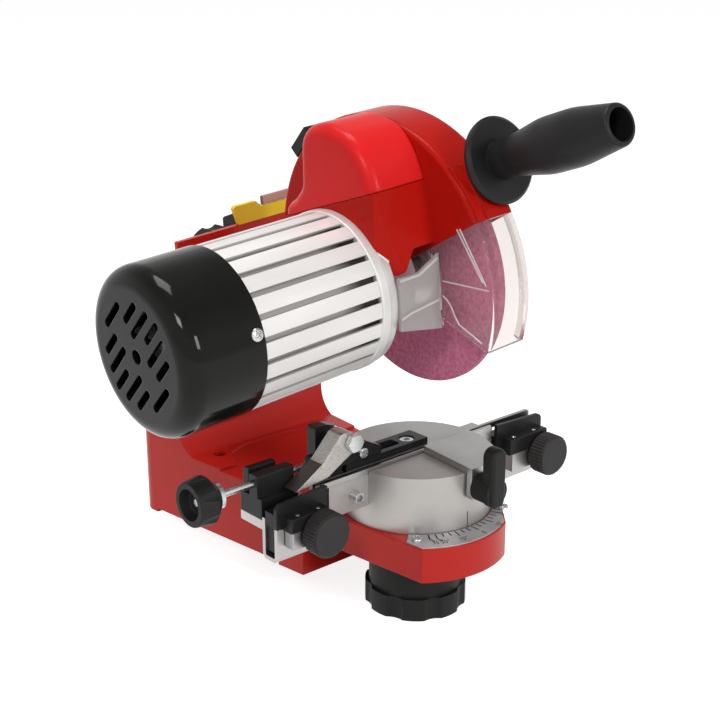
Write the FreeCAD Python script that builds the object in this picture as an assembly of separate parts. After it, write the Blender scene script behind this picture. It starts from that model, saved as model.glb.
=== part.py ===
import FreeCAD, Part
import math
import os

os.makedirs("parts", exist_ok=True)

V = FreeCAD.Vector

# Bench grinder for saw chain. Millimetres, +Z up, +X along the motor from the
# fan to the wheel, -Y towards the operator. The base stands on Z = 0 and the two
# bench bolts are at Y = 0. The shapes are drawn with X = 0 on the vise's swivel
# axis and moved at the end, so that the origin is midway between the bolts.

# ---------------------------------------------------------------- clearances
RUN = 0.05            # radial clearance of a shaft or pin in its bore
GAP = 0.3             # air between parts that move past each other
FIT = 0.1             # clearance of a fixed part in its recess

# ---------------------------------------------------------------- base
BENCH_BOLT_R = 4.25
BENCH_BOLT_SPACING = 82.5
BASE_CENTRE_X = -7.5
BASE_REAR_Y = 62.0
BASE_REAR_HALF = 66.4
NOSE_CORNER_Y = -192.0
NOSE_CORNER_HALF = 35.5
NOSE_RIGHT_X = 21.0
NOSE_FACET_X = 43.0
NOSE_FACET_Y = -172.0
NOSE_ARC_X = -6.0
NOSE_ARC_Y = -147.3
NOSE_ARC_R = 57.6
NOSE_BOSS_R = 30.0
PAD_STEP = 1.5
CORNER_R = 12.0
FOOT_FRONT_Y = -96.0
SHELF_Z = 50.0
NOSE_BOTTOM_Z = 28.5
SHELF_THICK = 7.0
WALL = 5.0
COLUMN_FRONT_Y = 18.5
COLUMN_TOP_Z = 178.0
COLUMN_FILLET = 20.0
BOLT_BOSS_R = 9.0

# ---------------------------------------------------------------- vise turret
VISE_Y = -141.5
TURRET_R = 46.6
TURRET_TOP_Z = 86.0
PLATE_THICK = 0.8
STUD_R = 8.0
STUD_SEAT = 22.0
WASHER_R = 20.0
WASHER_THICK = 2.5
HANDWHEEL_R = 31.9
HANDWHEEL_RIM = 14.5
HANDWHEEL_COLLAR_R = 29.5
HANDWHEEL_HEIGHT = 44.0
HANDWHEEL_LOBES = 8

# ---------------------------------------------------------------- vise jaws
SLOT_FRONT_Y = -5.0
SLOT_WIDTH = 2.0
SLOT_DEPTH = 8.0
JAW_THICK = 2.0
REAR_JAW_THICK = 2.4
JAW_TOP = 2.2
JAW_HEIGHT = 3.8
JAW_SKIRT = 13.8
JAW_TRAVEL = 0.9
FRONT_JAW_LEFT = -82.0
FRONT_JAW_RIGHT = 59.0
REAR_JAW_LEFT = -84.0
REAR_JAW_RIGHT = 98.0
BEAM_LEFT = -76.0
BEAM_RIGHT = 60.0
BEAM_HEIGHT = 20.2
BEAM_DEPTH = 18.0
BEAM_SET_BACK = 1.2
SPIGOT_DEPTH = 26.0
SPIGOT_TOP = -9.0
SPIGOT_WIDTH = 7.2
SPIGOT_LAP = 12.0
BEAM_SCREW_X = -57.5
BEAM_SCREW_Z = -12.0
ARM_TOP = 4.5
ARM_THICK = 4.2
ARM_FRONT_Y = -52.0
ARM_LEG_THICK = 4.0
LEVER_HUB_R = 8.5
LEVER_HUB_FRONT = -66.0
LEVER_AXIS_X = 2.0
LEVER_AXIS_Z = -8.0
LEVER_LENGTH = 28.0
LEVER_WIDTH = 12.0
CAM_PIN_R = 3.0

# ---------------------------------------------------------------- chain stop
STOP_BAR_TOP = 5.6
STOP_BAR_WIDTH = 16.0
STOP_BAR_LEFT = -36.0
STOP_BAR_RIGHT = 8.5
STOP_GUIDE_LEFT = -57.5
STOP_EAR_THICK = 6.0
STOP_SCREW_X = -2.5
STOP_SCREW_Y = 7.0
EAR_SCREW_X = -44.4
EAR_SCREW_Z = 9.6
POST_FRONT_Y = 9.0
POST_BACK_Y = 19.5
POST_TOP = 28.6
PAWL_AXIS_X = -57.4
PAWL_AXIS_Z = 21.6
PAWL_WIDTH = 11.0
PAWL_FRONT_Y = -5.2
PAWL_BOLT_R = 3.0
ADJUSTER_Y = 12.2
ADJUSTER_Z = 6.7
ADJUSTER_R = 2.2
ADJUSTER_END = -63.0
ADJUSTER_KNOB_R = 14.5
ADJUSTER_KNOB_FACE = -161.0
ADJUSTER_KNOB_LENGTH = 17.0
COLLAR_R = 7.5
COLLAR_THICK = 3.2
STOP_TRAVEL = 3.0

# ---------------------------------------------------------------- supports
CHANNEL_FRONT = -9.3
CHANNEL_WIDTH = 13.4
CHANNEL_WALL = 2.4
CHANNEL_BOTTOM = -36.2
CHANNEL_FRONT_TOP = -15.0
CHANNEL_REAR_TOP = -11.1
FLANGE_TOP = -13.3
FLANGE_BOTTOM = -19.0
FLANGE_BACK = 24.5
REST_WALL = 2.5
REST_TOP = -6.2
REST_TRAVEL = 4.0
BLOCK_FRONT = -17.7
BLOCK_TOP = -7.0
BLOCK_BOTTOM = -16.0
SHOE_HEIGHT = 10.3
RIB_REACH = 0.6
CHANNEL_RELIEF = 6.5
RIB_BACK = -5.3
RIB_TOP = -2.6
KNOB_R = 13.5
KNOB_FACE_Y = -30.0
KNOB_TEETH = 40
KNOB_Z = -18.8
KNOB_SCREW_R = 2.5

# ---------------------------------------------------------------- head tilt
TILT_AXIS_X = 4.7
TILT_AXIS_Z = 166.0
REST_TILT = 4.55
TILT_BOLT_R = 6.0
BRACKET_THICK = 11.2
BRACKET_WEB = 3.6
BRACKET_HUB_R = 22.0
RIB_THICK = 4.0
BRACKET_LEFT = -72.3
BRACKET_RIGHT = 48.0
BRACKET_TOP = 39.6
BRACKET_BOTTOM = -24.0
TILT_KNOB_R = 21.0
BOLT_AF = 19.0
TILT_KNOB_LENGTH = 13.0

# ---------------------------------------------------------------- head pivot
MOTOR_RISE = 36.3
MOTOR_Y = -134.0
PIVOT_Y = -8.0
PIVOT_RISE = 8.0
PIVOT_PIN_R = 6.0
PIVOT_BOSS_R = 13.5
PIVOT_LEFT = -52.0
PIVOT_RIGHT = -20.0
EAR_THICK = 11.0

# ---------------------------------------------------------------- motor
RING_R = 47.0
MOTOR_R = RING_R - 0.6
RING_LEFT = -66.4
RING_RIGHT = -59.5
HOUSING_LEFT = -146.0
HOUSING_WALL = 5.2
GROOVE_COUNT = 24
GROOVE_WIDTH = 3.2
GROOVE_DEPTH = 3.0
CAP_FACE_X = -194.2
CAP_WALL = 2.4
CAP_SHOULDER_R = 11.0
SHAFT_R = 6.0
STATOR_BORE = 24.0
ROTOR_AIR = 0.5
BEARING_R = 16.0
FRONT_BEARING_X = -42.0
REAR_BEARING_X = -151.0
STATOR_LEFT = -134.0
STATOR_RIGHT = -78.0
SLOT_PITCH = 8.9
SLOT_W = 4.4

# ---------------------------------------------------------------- wheel
WHEEL_R = 72.5
WHEEL_THICK = 4.7
WHEEL_BORE = 11.1
FLANGE_R = 24.0
FLANGE_THICK = 5.0

# ---------------------------------------------------------------- wheel guard
GUARD_R = 91.0
DRUM_Y = 4.1
DRUM_Z = 1.6
CLEAR_R = 87.2
CLEAR_RIGHT = 5.4
GUARD_WALL = 2.6
GUARD_LEFT = -23.0
GUARD_RIGHT = 3.2
GUARD_CUT_ANGLE = 30.0
GUARD_REAR_ANGLE = 205.0
CLEAR_LOW_ANGLE = -20.0
HOOD_LEFT = -60.8
COVER_THICK = 2.3
COVER_HOLE_R = 34.0
HOOD_WALL = 3.0
HUB_R = 27.0

# ---------------------------------------------------------------- handle
HANDLE_X = 3.6
HANDLE_DISC_Y = -68.7
HANDLE_DISC_Z = 71.7
HANDLE_RISE = 20.0
HANDLE_LENGTH = 88.5
HANDLE_DISC_R = 24.5
HANDLE_DISC_BACK = -2.2
HANDLE_STUD_R = 4.0


# ================================================================ helpers
def place(plane, level, u, v):
    """Point at (u, v) on a plane named by its two axes."""
    if plane == "XY":
        return V(u, v, level)
    if plane == "XZ":
        return V(u, level, v)
    return V(level, u, v)


def outline(points, plane, level):
    """Closed wire of straight runs; a third number in a point rounds it."""
    count = len(points)
    entries = []
    for index in range(count):
        here = points[index]
        before = points[index - 1]
        after = points[(index + 1) % count]
        radius = here[2] if len(here) > 2 else 0.0
        if radius <= 0.0:
            entries.append((here[:2], None, here[:2]))
            continue
        ax, ay = before[0] - here[0], before[1] - here[1]
        bx, by = after[0] - here[0], after[1] - here[1]
        la, lb = math.hypot(ax, ay), math.hypot(bx, by)
        ax, ay, bx, by = ax / la, ay / la, bx / lb, by / lb
        half = math.acos(max(-1.0, min(1.0, ax * bx + ay * by))) / 2
        run = radius / math.tan(half)
        mx, my = ax + bx, ay + by
        lm = math.hypot(mx, my)
        reach = radius / math.sin(half) - radius
        start = (here[0] + ax * run, here[1] + ay * run)
        middle = (here[0] + mx / lm * reach, here[1] + my / lm * reach)
        end = (here[0] + bx * run, here[1] + by * run)
        entries.append((start, middle, end))
    edges = []
    for index in range(count):
        start, middle, end = entries[index]
        if middle:
            ends = [place(plane, level, *spot) for spot in (start, middle, end)]
            edges.append(Part.Arc(*ends).toShape())
        leave = place(plane, level, *end)
        arrive = place(plane, level, *entries[(index + 1) % count][0])
        if leave.distanceToPoint(arrive) > 1e-6:
            edges.append(Part.makeLine(leave, arrive))
    return Part.Wire(edges)


def prism(points, plane, start, end):
    """Solid of an outline between two levels across its plane."""
    step = place(plane, end - start, 0, 0)
    return Part.Face(outline(points, plane, start)).extrude(step)


def box(x0, x1, y0, y1, z0, z1):
    return Part.makeBox(x1 - x0, y1 - y0, z1 - z0, V(x0, y0, z0))


def rod(axis, radius, start, end, a, b):
    """Cylinder along an axis; a and b are its other two coordinates in order."""
    spots = {"X": V(start, a, b), "Y": V(a, start, b), "Z": V(a, b, start)}
    ways = {"X": V(1, 0, 0), "Y": V(0, 1, 0), "Z": V(0, 0, 1)}
    return Part.makeCylinder(radius, end - start, spots[axis], ways[axis])


def tube(axis, outer, inner, start, end, a, b):
    bore = rod(axis, inner, start - 1, end + 1, a, b)
    return rod(axis, outer, start, end, a, b).cut(bore)


def turned(points, axis, a, b):
    """Solid of revolution of an outline of (along, radius) points."""
    if axis == "X":
        return Part.Face(outline(points, "XZ", 0)).revolve(V(), V(1, 0, 0), 360).translated(V(0, a, b))
    if axis == "Y":
        flat = Part.Face(outline([(p[1], p[0]) + tuple(p[2:]) for p in points], "XY", 0))
        return flat.revolve(V(), V(0, 1, 0), 360).translated(V(a, 0, b))
    flat = Part.Face(outline([(p[1], p[0]) + tuple(p[2:]) for p in points], "XZ", 0))
    return flat.revolve(V(), V(0, 0, 1), 360).translated(V(a, b, 0))


def fused(shapes):
    whole = shapes[0]
    for shape in shapes[1:]:
        whole = whole.fuse(shape)
    return whole.removeSplitter()


def cut_all(shape, tools):
    for tool in tools:
        shape = shape.cut(tool)
    return shape


def toothed(count, outer, depth, plane, start, end, a, b):
    """Knurled disc: a ring of rounded-off teeth drawn as a zigzag."""
    points = []
    for index in range(2 * count):
        angle = math.pi * index / count
        radius = outer if index % 2 == 0 else outer - depth
        points.append((a + radius * math.cos(angle), b + radius * math.sin(angle)))
    return prism(points, plane, start, end)


def hexagon(across, plane, start, end, a, b):
    corner = across / math.sqrt(3)
    points = [(a + corner * math.cos(math.radians(60 * i)), b + corner * math.sin(math.radians(60 * i)))
              for i in range(6)]
    return prism(points, plane, start, end)


def lobed(count, outer, bite_r, bite_depth, start, end):
    """Hand wheel rim about Z with round bites between its lobes."""
    wheel = rod("Z", outer, start, end, 0, 0)
    for index in range(count):
        angle = 2 * math.pi * (index + 0.5) / count
        reach = outer + bite_r - bite_depth
        bite = rod("Z", bite_r, start - 1, end + 1, reach * math.cos(angle), reach * math.sin(angle))
        wheel = wheel.cut(bite)
    return wheel


def in_vise(shape):
    """From the vise frame (swivel axis, top of the turret) to the part."""
    return shape.translated(V(0, VISE_Y, TURRET_TOP_Z))


def tilted(shape):
    """From the tilt frame (tilt axis, head level) to the part at rest."""
    shape = shape.copy()
    shape.rotate(V(), V(0, 1, 0), -REST_TILT)
    shape.translate(V(TILT_AXIS_X, 0, TILT_AXIS_Z))
    return shape


def in_head(shape):
    """From the head frame (wheel centre, on the motor axis) to the part."""
    return tilted(shape.translated(V(0, MOTOR_Y, MOTOR_RISE)))


parts = {}

# ================================================================ base casting
def base_plan(inset, z0, z1):
    """Plan of the base with its round nose, as a prism."""
    rear_left = (BASE_CENTRE_X - BASE_REAR_HALF + inset, BASE_REAR_Y - inset)
    rear_right = (BASE_CENTRE_X + BASE_REAR_HALF - inset, BASE_REAR_Y - inset)
    corner_l = (BASE_CENTRE_X - NOSE_CORNER_HALF + inset, NOSE_CORNER_Y + inset)
    corner_r = (NOSE_RIGHT_X - 0.4 * inset, NOSE_CORNER_Y - 6 + inset)
    facet = (NOSE_FACET_X - inset, NOSE_FACET_Y + 0.4 * inset)
    bulge = (NOSE_ARC_X, NOSE_ARC_Y - NOSE_ARC_R + inset)
    rounding = CORNER_R - inset / 2
    straight = prism([corner_l, corner_r, facet, rear_right + (rounding,), rear_left + (rounding,)], "XY",
                     z0, z1)
    nose = Part.Wire([Part.Arc(V(*corner_l, z0), V(*bulge, z0), V(*corner_r, z0)).toShape(),
                      Part.makeLine(V(*corner_r, z0), V(*corner_l, z0))])
    return straight.fuse(Part.Face(nose).extrude(V(0, 0, z1 - z0))).removeSplitter()


def make_base():
    """Bench base: foot, shelf with a round nose, and the column behind."""
    wide = 2 * BASE_REAR_HALF
    far = NOSE_CORNER_Y - 40
    side = [(far, NOSE_BOTTOM_Z), (FOOT_FRONT_Y, NOSE_BOTTOM_Z, 4), (FOOT_FRONT_Y, 0), (BASE_REAR_Y, 0),
            (BASE_REAR_Y, COLUMN_TOP_Z, 8), (COLUMN_FRONT_Y, COLUMN_TOP_Z, 8),
            (COLUMN_FRONT_Y, SHELF_Z, COLUMN_FILLET), (far, SHELF_Z)]
    body = base_plan(0, 0, COLUMN_TOP_Z)
    body = body.common(prism(side, "YZ", -wide, wide))
    # raised pad with the two bench bolts; its front edge bends round them
    left_edge = [(-26.5, 3, 6), (-41, -3, 8), (-50, -23, 5), (-90, -19)]
    right_edge = [(2 * BASE_CENTRE_X - p[0],) + tuple(p[1:]) for p in reversed(left_edge)]
    rear = [(-90, BASE_REAR_Y - 10), (2 * BASE_CENTRE_X + 90, BASE_REAR_Y - 10)]
    pad = prism(right_edge + left_edge + rear, "XY", SHELF_Z - 1, SHELF_Z + PAD_STEP)
    body = body.fuse(pad.common(base_plan(0, 0, COLUMN_TOP_Z)))
    # hollow underside and hollow column, open at the bottom
    roof = SHELF_Z - SHELF_THICK
    hollow_side = [(FOOT_FRONT_Y + WALL, -1), (BASE_REAR_Y - WALL, -1),
                   (BASE_REAR_Y - WALL, COLUMN_TOP_Z - 14, 5),
                   (COLUMN_FRONT_Y + 8, COLUMN_TOP_Z - 14, 5), (COLUMN_FRONT_Y + 8, roof + 8, 8),
                   (COLUMN_FRONT_Y - 10, roof), (FOOT_FRONT_Y + WALL, roof)]
    body = body.cut(prism(hollow_side, "YZ", -wide, wide).common(base_plan(WALL, -1, COLUMN_TOP_Z)))
    nose_hollow = base_plan(WALL, NOSE_BOTTOM_Z - 1, roof).common(box(-wide, wide, far,
                                                                      FOOT_FRONT_Y - WALL, 0, roof))
    body = body.cut(nose_hollow.cut(rod("Z", NOSE_BOSS_R, 0, roof + 1, 0, VISE_Y)))
    holes = (BASE_CENTRE_X - BENCH_BOLT_SPACING / 2, BASE_CENTRE_X + BENCH_BOLT_SPACING / 2)
    for x in holes:
        body = body.fuse(rod("Z", BOLT_BOSS_R, 0, SHELF_Z - 1, x, 0))
    # relief between the foot pads
    relief = box(-wide, wide, FOOT_FRONT_Y + 22, BASE_REAR_Y - 18, -1, 2.5)
    body = body.cut(cut_all(relief, [rod("Z", BOLT_BOSS_R, -2, 4, x, 0) for x in holes]))
    for x in holes:
        body = body.cut(rod("Z", BENCH_BOLT_R, -1, SHELF_Z + 30, x, 0))
    # swivel bore of the vise, and the tilt bolt's boss through the column
    body = body.cut(rod("Z", STUD_R + RUN, NOSE_BOTTOM_Z - 1, SHELF_Z + 1, 0, VISE_Y))
    body = body.fuse(rod("Y", TILT_BOLT_R + 8, COLUMN_FRONT_Y + 1, BASE_REAR_Y - 1, TILT_AXIS_X,
                         TILT_AXIS_Z - 4))
    return body.cut(rod("Y", TILT_BOLT_R + RUN, COLUMN_FRONT_Y - 1, BASE_REAR_Y + 1, TILT_AXIS_X,
                        TILT_AXIS_Z)).removeSplitter()


parts["base_casting"] = make_base()


def make_scale_plate():
    ring = tube("Z", 80, TURRET_R + 0.9, SHELF_Z, SHELF_Z + PLATE_THICK, 0, VISE_Y)
    plan = base_plan(1.0, SHELF_Z, SHELF_Z + PLATE_THICK)
    reach = 100.0
    wedge = [(0, VISE_Y)]
    for angle in (-49, -30, 0, 30, 46):
        a = math.radians(angle)
        wedge.append((reach * math.sin(a), VISE_Y - reach * math.cos(a)))
    plate = ring.common(plan).common(prism(wedge, "XY", SHELF_Z - 1, SHELF_Z + 3))
    return plate


parts["angle_scale"] = make_scale_plate()


def make_scale_screws():
    heads = []
    for angle in (-43, 39):
        a = math.radians(angle)
        x, y = 54.0 * math.sin(a), VISE_Y - 54.0 * math.cos(a)
        dome = turned([(0, 0), (0, 3.4), (1.1, 2.8, 0.8), (1.8, 0)], "Z", x, y)
        heads.append(dome.translated(V(0, 0, SHELF_Z + PLATE_THICK)))
    return Part.makeCompound(heads)


parts["scale_screws"] = make_scale_screws()

# ================================================================ vise turret
TURRET_BOTTOM = SHELF_Z + GAP - TURRET_TOP_Z
NOSE_UNDER = NOSE_BOTTOM_Z - TURRET_TOP_Z
BEAM_TOP = JAW_TOP - JAW_HEIGHT
BEAM_FRONT_Y = SLOT_FRONT_Y - BEAM_SET_BACK
BEAM_BACK_Y = BEAM_FRONT_Y + BEAM_DEPTH
REAR_JAW_Y = SLOT_FRONT_Y + SLOT_WIDTH
REAR_JAW_BACK = REAR_JAW_Y + REAR_JAW_THICK
CHANNEL_BACK = CHANNEL_FRONT + CHANNEL_WIDTH
CAM_PIN_SEAT = -38.0


def make_turret():
    """Round vise body with a cross beam that carries the jaws."""
    body = rod("Z", TURRET_R, TURRET_BOTTOM, 0, 0, 0)
    floor = BEAM_TOP - BEAM_HEIGHT
    body = body.fuse(box(BEAM_LEFT, 0, BEAM_FRONT_Y, BEAM_BACK_Y, floor, BEAM_TOP))
    # the right end stands back, behind the deep end of the front jaw
    right_front = SLOT_FRONT_Y + JAW_TRAVEL + GAP
    body = body.fuse(box(0, BEAM_RIGHT, right_front, BEAM_BACK_Y, floor, BEAM_TOP))
    jaw_front = SLOT_FRONT_Y - JAW_THICK
    body = body.cut(box(BEAM_LEFT - 1, BEAM_RIGHT + 1, jaw_front - GAP, REAR_JAW_BACK, BEAM_TOP, 1))
    body = body.cut(box(BEAM_LEFT - 1, BEAM_RIGHT + 1, SLOT_FRONT_Y, REAR_JAW_Y, BEAM_TOP - SLOT_DEPTH, 1))
    for end, way in ((BEAM_LEFT, 1), (BEAM_RIGHT, -1)):
        inner, outer = sorted((end + way * (SPIGOT_DEPTH + FIT), end - way))
        body = body.cut(box(inner, outer, CHANNEL_BACK - FIT, CHANNEL_BACK + SPIGOT_WIDTH + FIT,
                            FLANGE_BOTTOM - FIT, SPIGOT_TOP + FIT))
    tools = [rod("Z", STUD_R, TURRET_BOTTOM - 1, TURRET_BOTTOM + STUD_SEAT, 0, 0),
             rod("Y", CAM_PIN_R, -TURRET_R - 1, CAM_PIN_SEAT, LEVER_AXIS_X, LEVER_AXIS_Z),
             rod("Y", 2.0, BEAM_FRONT_Y - 1, CHANNEL_BACK, BEAM_SCREW_X, BEAM_SCREW_Z),
             rod("Z", 2.5, -9, 1, STOP_SCREW_X, STOP_SCREW_Y)]
    return cut_all(body, tools).removeSplitter()


parts["vise_turret"] = in_vise(make_turret())
HANDWHEEL_TOP = NOSE_UNDER - 2 * GAP
WASHER_TOP = NOSE_UNDER - GAP
HANDWHEEL_BOTTOM = HANDWHEEL_TOP - HANDWHEEL_HEIGHT
parts["clamp_stud"] = in_vise(rod("Z", STUD_R, HANDWHEEL_BOTTOM + 4, TURRET_BOTTOM + STUD_SEAT, 0, 0))
parts["clamp_washer"] = in_vise(tube("Z", WASHER_R, STUD_R + RUN, WASHER_TOP - WASHER_THICK, WASHER_TOP,
                                     0, 0))


def make_handwheel():
    """Lock wheel: a tall collar over a lobed rim, hollow from below."""
    rim_top = HANDWHEEL_BOTTOM + HANDWHEEL_RIM
    rim = lobed(HANDWHEEL_LOBES, HANDWHEEL_R, 12.0, 1.9, HANDWHEEL_BOTTOM, rim_top)
    collar = rod("Z", HANDWHEEL_COLLAR_R, rim_top - 1, HANDWHEEL_TOP, 0, 0)
    wheel = rim.fuse(collar)
    wheel = wheel.cut(rod("Z", WASHER_R + FIT, WASHER_TOP - WASHER_THICK, HANDWHEEL_TOP + 1, 0, 0))
    cavity = turned([(HANDWHEEL_BOTTOM - 1, 13), (HANDWHEEL_BOTTOM - 1, HANDWHEEL_COLLAR_R - 4),
                     (HANDWHEEL_TOP - 10, HANDWHEEL_COLLAR_R - 5, 3), (HANDWHEEL_TOP - 10, 13, 2)], "Z",
                     0, 0)
    return wheel.cut(cavity).cut(rod("Z", STUD_R + RUN, HANDWHEEL_BOTTOM - 1, HANDWHEEL_TOP + 1, 0,
                                     0)).removeSplitter()


parts["lock_handwheel"] = in_vise(make_handwheel())


# ================================================================ vise jaws
def make_front_jaw():
    """Moving jaw strip, with a deep end beyond the turret."""
    front = SLOT_FRONT_Y - JAW_THICK
    edge = math.sqrt(TURRET_R ** 2 - front ** 2) + 1.2
    low = BEAM_TOP + GAP
    side = [(FRONT_JAW_LEFT, low), (edge, low), (edge, low - JAW_SKIRT, 2),
            (FRONT_JAW_RIGHT, low - JAW_SKIRT, 2),
            (FRONT_JAW_RIGHT, JAW_TOP, 1), (FRONT_JAW_LEFT, JAW_TOP)]
    return prism(side, "XZ", front, SLOT_FRONT_Y)


parts["front_jaw"] = in_vise(make_front_jaw())
rear_jaw_side = [(REAR_JAW_LEFT, BEAM_TOP), (REAR_JAW_RIGHT, BEAM_TOP), (REAR_JAW_RIGHT, JAW_TOP, 1.5),
                 (REAR_JAW_LEFT, JAW_TOP)]
parts["rear_jaw"] = in_vise(prism(rear_jaw_side, "XZ", REAR_JAW_Y, REAR_JAW_BACK))


def make_clamp_arm():
    """Pull plate of the front jaw, with a leg that the lever's cam pushes."""
    back = SLOT_FRONT_Y - JAW_THICK
    plan = [(-1, back), (38, back), (37.4, -20, 5), (31, -35, 8), (14, ARM_FRONT_Y + 1), (12, ARM_FRONT_Y),
            (-5, ARM_FRONT_Y), (-3.4, -34)]
    arm = prism(plan, "XY", ARM_TOP - ARM_THICK, ARM_TOP)
    leg_low = LEVER_AXIS_Z - LEVER_HUB_R
    leg = prism([(-5, leg_low, 4), (11, leg_low, 4), (11, ARM_TOP), (-5, ARM_TOP)], "XZ", ARM_FRONT_Y,
                ARM_FRONT_Y + ARM_LEG_THICK)
    return arm.fuse(leg).cut(rod("Y", CAM_PIN_R + RUN, -60, -40, LEVER_AXIS_X,
                                 LEVER_AXIS_Z)).removeSplitter()


parts["clamp_arm"] = in_vise(make_clamp_arm())


def make_lever():
    """Cam lever: a round hub on the pin and a thick rounded finger."""
    hub = rod("Y", LEVER_HUB_R, LEVER_HUB_FRONT, ARM_FRONT_Y - GAP, LEVER_AXIS_X, LEVER_AXIS_Z)
    half = LEVER_WIDTH / 2
    low, high = LEVER_AXIS_Z - LEVER_HUB_R - 1, LEVER_AXIS_Z + LEVER_LENGTH
    finger = prism([(LEVER_AXIS_X - half + 0.5, low, 5), (LEVER_AXIS_X + half - 0.5, low, 5),
                    (LEVER_AXIS_X + half, high, half - 0.2), (LEVER_AXIS_X - half, high, half - 0.2)], "XZ",
                   LEVER_HUB_FRONT - 2, LEVER_HUB_FRONT + 7.5)
    finger = finger.makeFillet(2.2, [e for e in finger.Edges if e.BoundBox.YLength < 0.01])
    lever = hub.fuse(finger)
    return lever.cut(rod("Y", CAM_PIN_R + RUN, LEVER_HUB_FRONT + 5, -50, LEVER_AXIS_X,
                         LEVER_AXIS_Z)).removeSplitter()


parts["cam_lever"] = in_vise(make_lever())
parts["cam_pin"] = in_vise(rod("Y", CAM_PIN_R, LEVER_HUB_FRONT + 5 + GAP, CAM_PIN_SEAT, LEVER_AXIS_X,
                               LEVER_AXIS_Z))


def make_beam_screw():
    """Socket screw that holds the left chain support's spigot."""
    start = BEAM_FRONT_Y - 6.5
    screw = rod("Y", 3.6, start, BEAM_FRONT_Y, BEAM_SCREW_X, BEAM_SCREW_Z)
    screw = screw.fuse(rod("Y", 2.0, BEAM_FRONT_Y - 1, CHANNEL_BACK, BEAM_SCREW_X, BEAM_SCREW_Z))
    return screw.cut(hexagon(4.0, "XZ", start - 1, start + 3, BEAM_SCREW_X, BEAM_SCREW_Z)).removeSplitter()


parts["beam_screw"] = in_vise(make_beam_screw())

# ================================================================ chain stop
STOP_FRONT = REAR_JAW_BACK + GAP
EAR_BACK = STOP_FRONT + STOP_EAR_THICK


def make_stop_bar():
    """Bar on the turret with a window, a screw hole and a guide to the left."""
    back = STOP_FRONT + STOP_BAR_WIDTH
    plan = [(STOP_GUIDE_LEFT, STOP_FRONT), (STOP_BAR_RIGHT, STOP_FRONT), (STOP_BAR_RIGHT, back, 1.5),
            (STOP_BAR_LEFT, back, 1.5), (STOP_BAR_LEFT, EAR_BACK, 1), (STOP_GUIDE_LEFT, EAR_BACK)]
    bar = prism(plan, "XY", 0, STOP_BAR_TOP)
    window = prism([(-28, STOP_FRONT + 3.5, 2), (-11, STOP_FRONT + 3.5, 2), (-11, back - 3.5, 2),
                    (-28, back - 3.5, 2)],
                   "XY", 1.2, STOP_BAR_TOP + 1)
    tools = [window, rod("Z", 2.5, -1, 10, STOP_SCREW_X, STOP_SCREW_Y),
             rod("Z", 5.0, STOP_BAR_TOP - 3.5, 10, STOP_SCREW_X, STOP_SCREW_Y)]
    return cut_all(bar, tools)


parts["stop_bar"] = in_vise(make_stop_bar())


def make_stop_bar_screw():
    """Socket screw of the stop bar, sunk in its counterbore."""
    seat = STOP_BAR_TOP - 3.5
    head = rod("Z", 4.4, seat, seat + 2.8, STOP_SCREW_X, STOP_SCREW_Y)
    screw = head.fuse(rod("Z", 2.5, -9, seat, STOP_SCREW_X, STOP_SCREW_Y))
    return screw.cut(hexagon(4, "XY", seat + 0.8, 10, STOP_SCREW_X, STOP_SCREW_Y)).removeSplitter()


parts["stop_bar_screw"] = in_vise(make_stop_bar_screw())


def make_carriage():
    """Sliding chain stop body: ear, saddle and the post behind the pawl."""
    low = BEAM_TOP + GAP
    over = STOP_BAR_TOP + GAP
    left = STOP_GUIDE_LEFT - STOP_TRAVEL - 2 * GAP
    ear = [(-78, low), (left, low), (left, over), (-30, over), (-30, 10.5), (-45.5, 18.5, 1.5),
           (-50.5, 16.4, 2),
           (-62.5, 9.0), (-73.5, 2.3), (-78, 1.6)]
    carriage = prism(ear, "XZ", STOP_FRONT, EAR_BACK)
    saddle = box(-78, left, EAR_BACK - 1, POST_BACK_Y, low, 1.6)
    boss = prism([(-76, low), (-63, low), (-63, 11, 3), (-76, 11, 3)], "XZ", POST_FRONT_Y - 0.5,
                 ADJUSTER_Y + 4.5)
    post = [(-71, low), (-61, low), (-53.5, 14), (-52, 25, 2), (-62, POST_TOP, 2), (-71, POST_TOP, 1.5),
            (-71, 16)]
    carriage = fused([carriage, saddle, boss, prism(post, "XZ", POST_FRONT_Y + 3, POST_BACK_Y)])
    tools = [rod("Y", PAWL_BOLT_R, POST_FRONT_Y - 1, POST_BACK_Y + 1, PAWL_AXIS_X, PAWL_AXIS_Z),
             rod("X", ADJUSTER_R + RUN, -90, ADJUSTER_END + 0.5, ADJUSTER_Y, ADJUSTER_Z),
             rod("Y", 1.9, STOP_FRONT - 1, EAR_BACK - 1.5, EAR_SCREW_X, EAR_SCREW_Z)]
    return cut_all(carriage, tools).removeSplitter()


parts["stop_carriage"] = in_vise(make_carriage())


def make_pawl():
    """Bent chain stop with a ground tip, hung on its bolt."""
    side = [(-99.7, 1.8), (-78.8, 14.5, 8), (-65.5, 28.4, 4), (-56.5, 28.4, 5), (-51.8, 17.5, 4),
            (-62.9, 11.8, 4),
            (-75.7, 4.4, 8)]
    pawl = prism(side, "XZ", PAWL_FRONT_Y, PAWL_FRONT_Y + PAWL_WIDTH)
    return pawl.cut(rod("Y", PAWL_BOLT_R + RUN, -10, 10, PAWL_AXIS_X, PAWL_AXIS_Z))


parts["chain_stop_pawl"] = in_vise(make_pawl())


def make_pawl_bolt():
    """Hex bolt that the pawl turns on, with its spacer."""
    back = PAWL_FRONT_Y + PAWL_WIDTH
    shank = rod("Y", PAWL_BOLT_R, PAWL_FRONT_Y - 1, POST_BACK_Y + 3, PAWL_AXIS_X, PAWL_AXIS_Z)
    head = hexagon(10, "XZ", PAWL_FRONT_Y - GAP - 4, PAWL_FRONT_Y - GAP, PAWL_AXIS_X, PAWL_AXIS_Z)
    spacer = rod("Y", 5, back + GAP, POST_FRONT_Y + 3, PAWL_AXIS_X, PAWL_AXIS_Z)
    return fused([shank, head, spacer])


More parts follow.
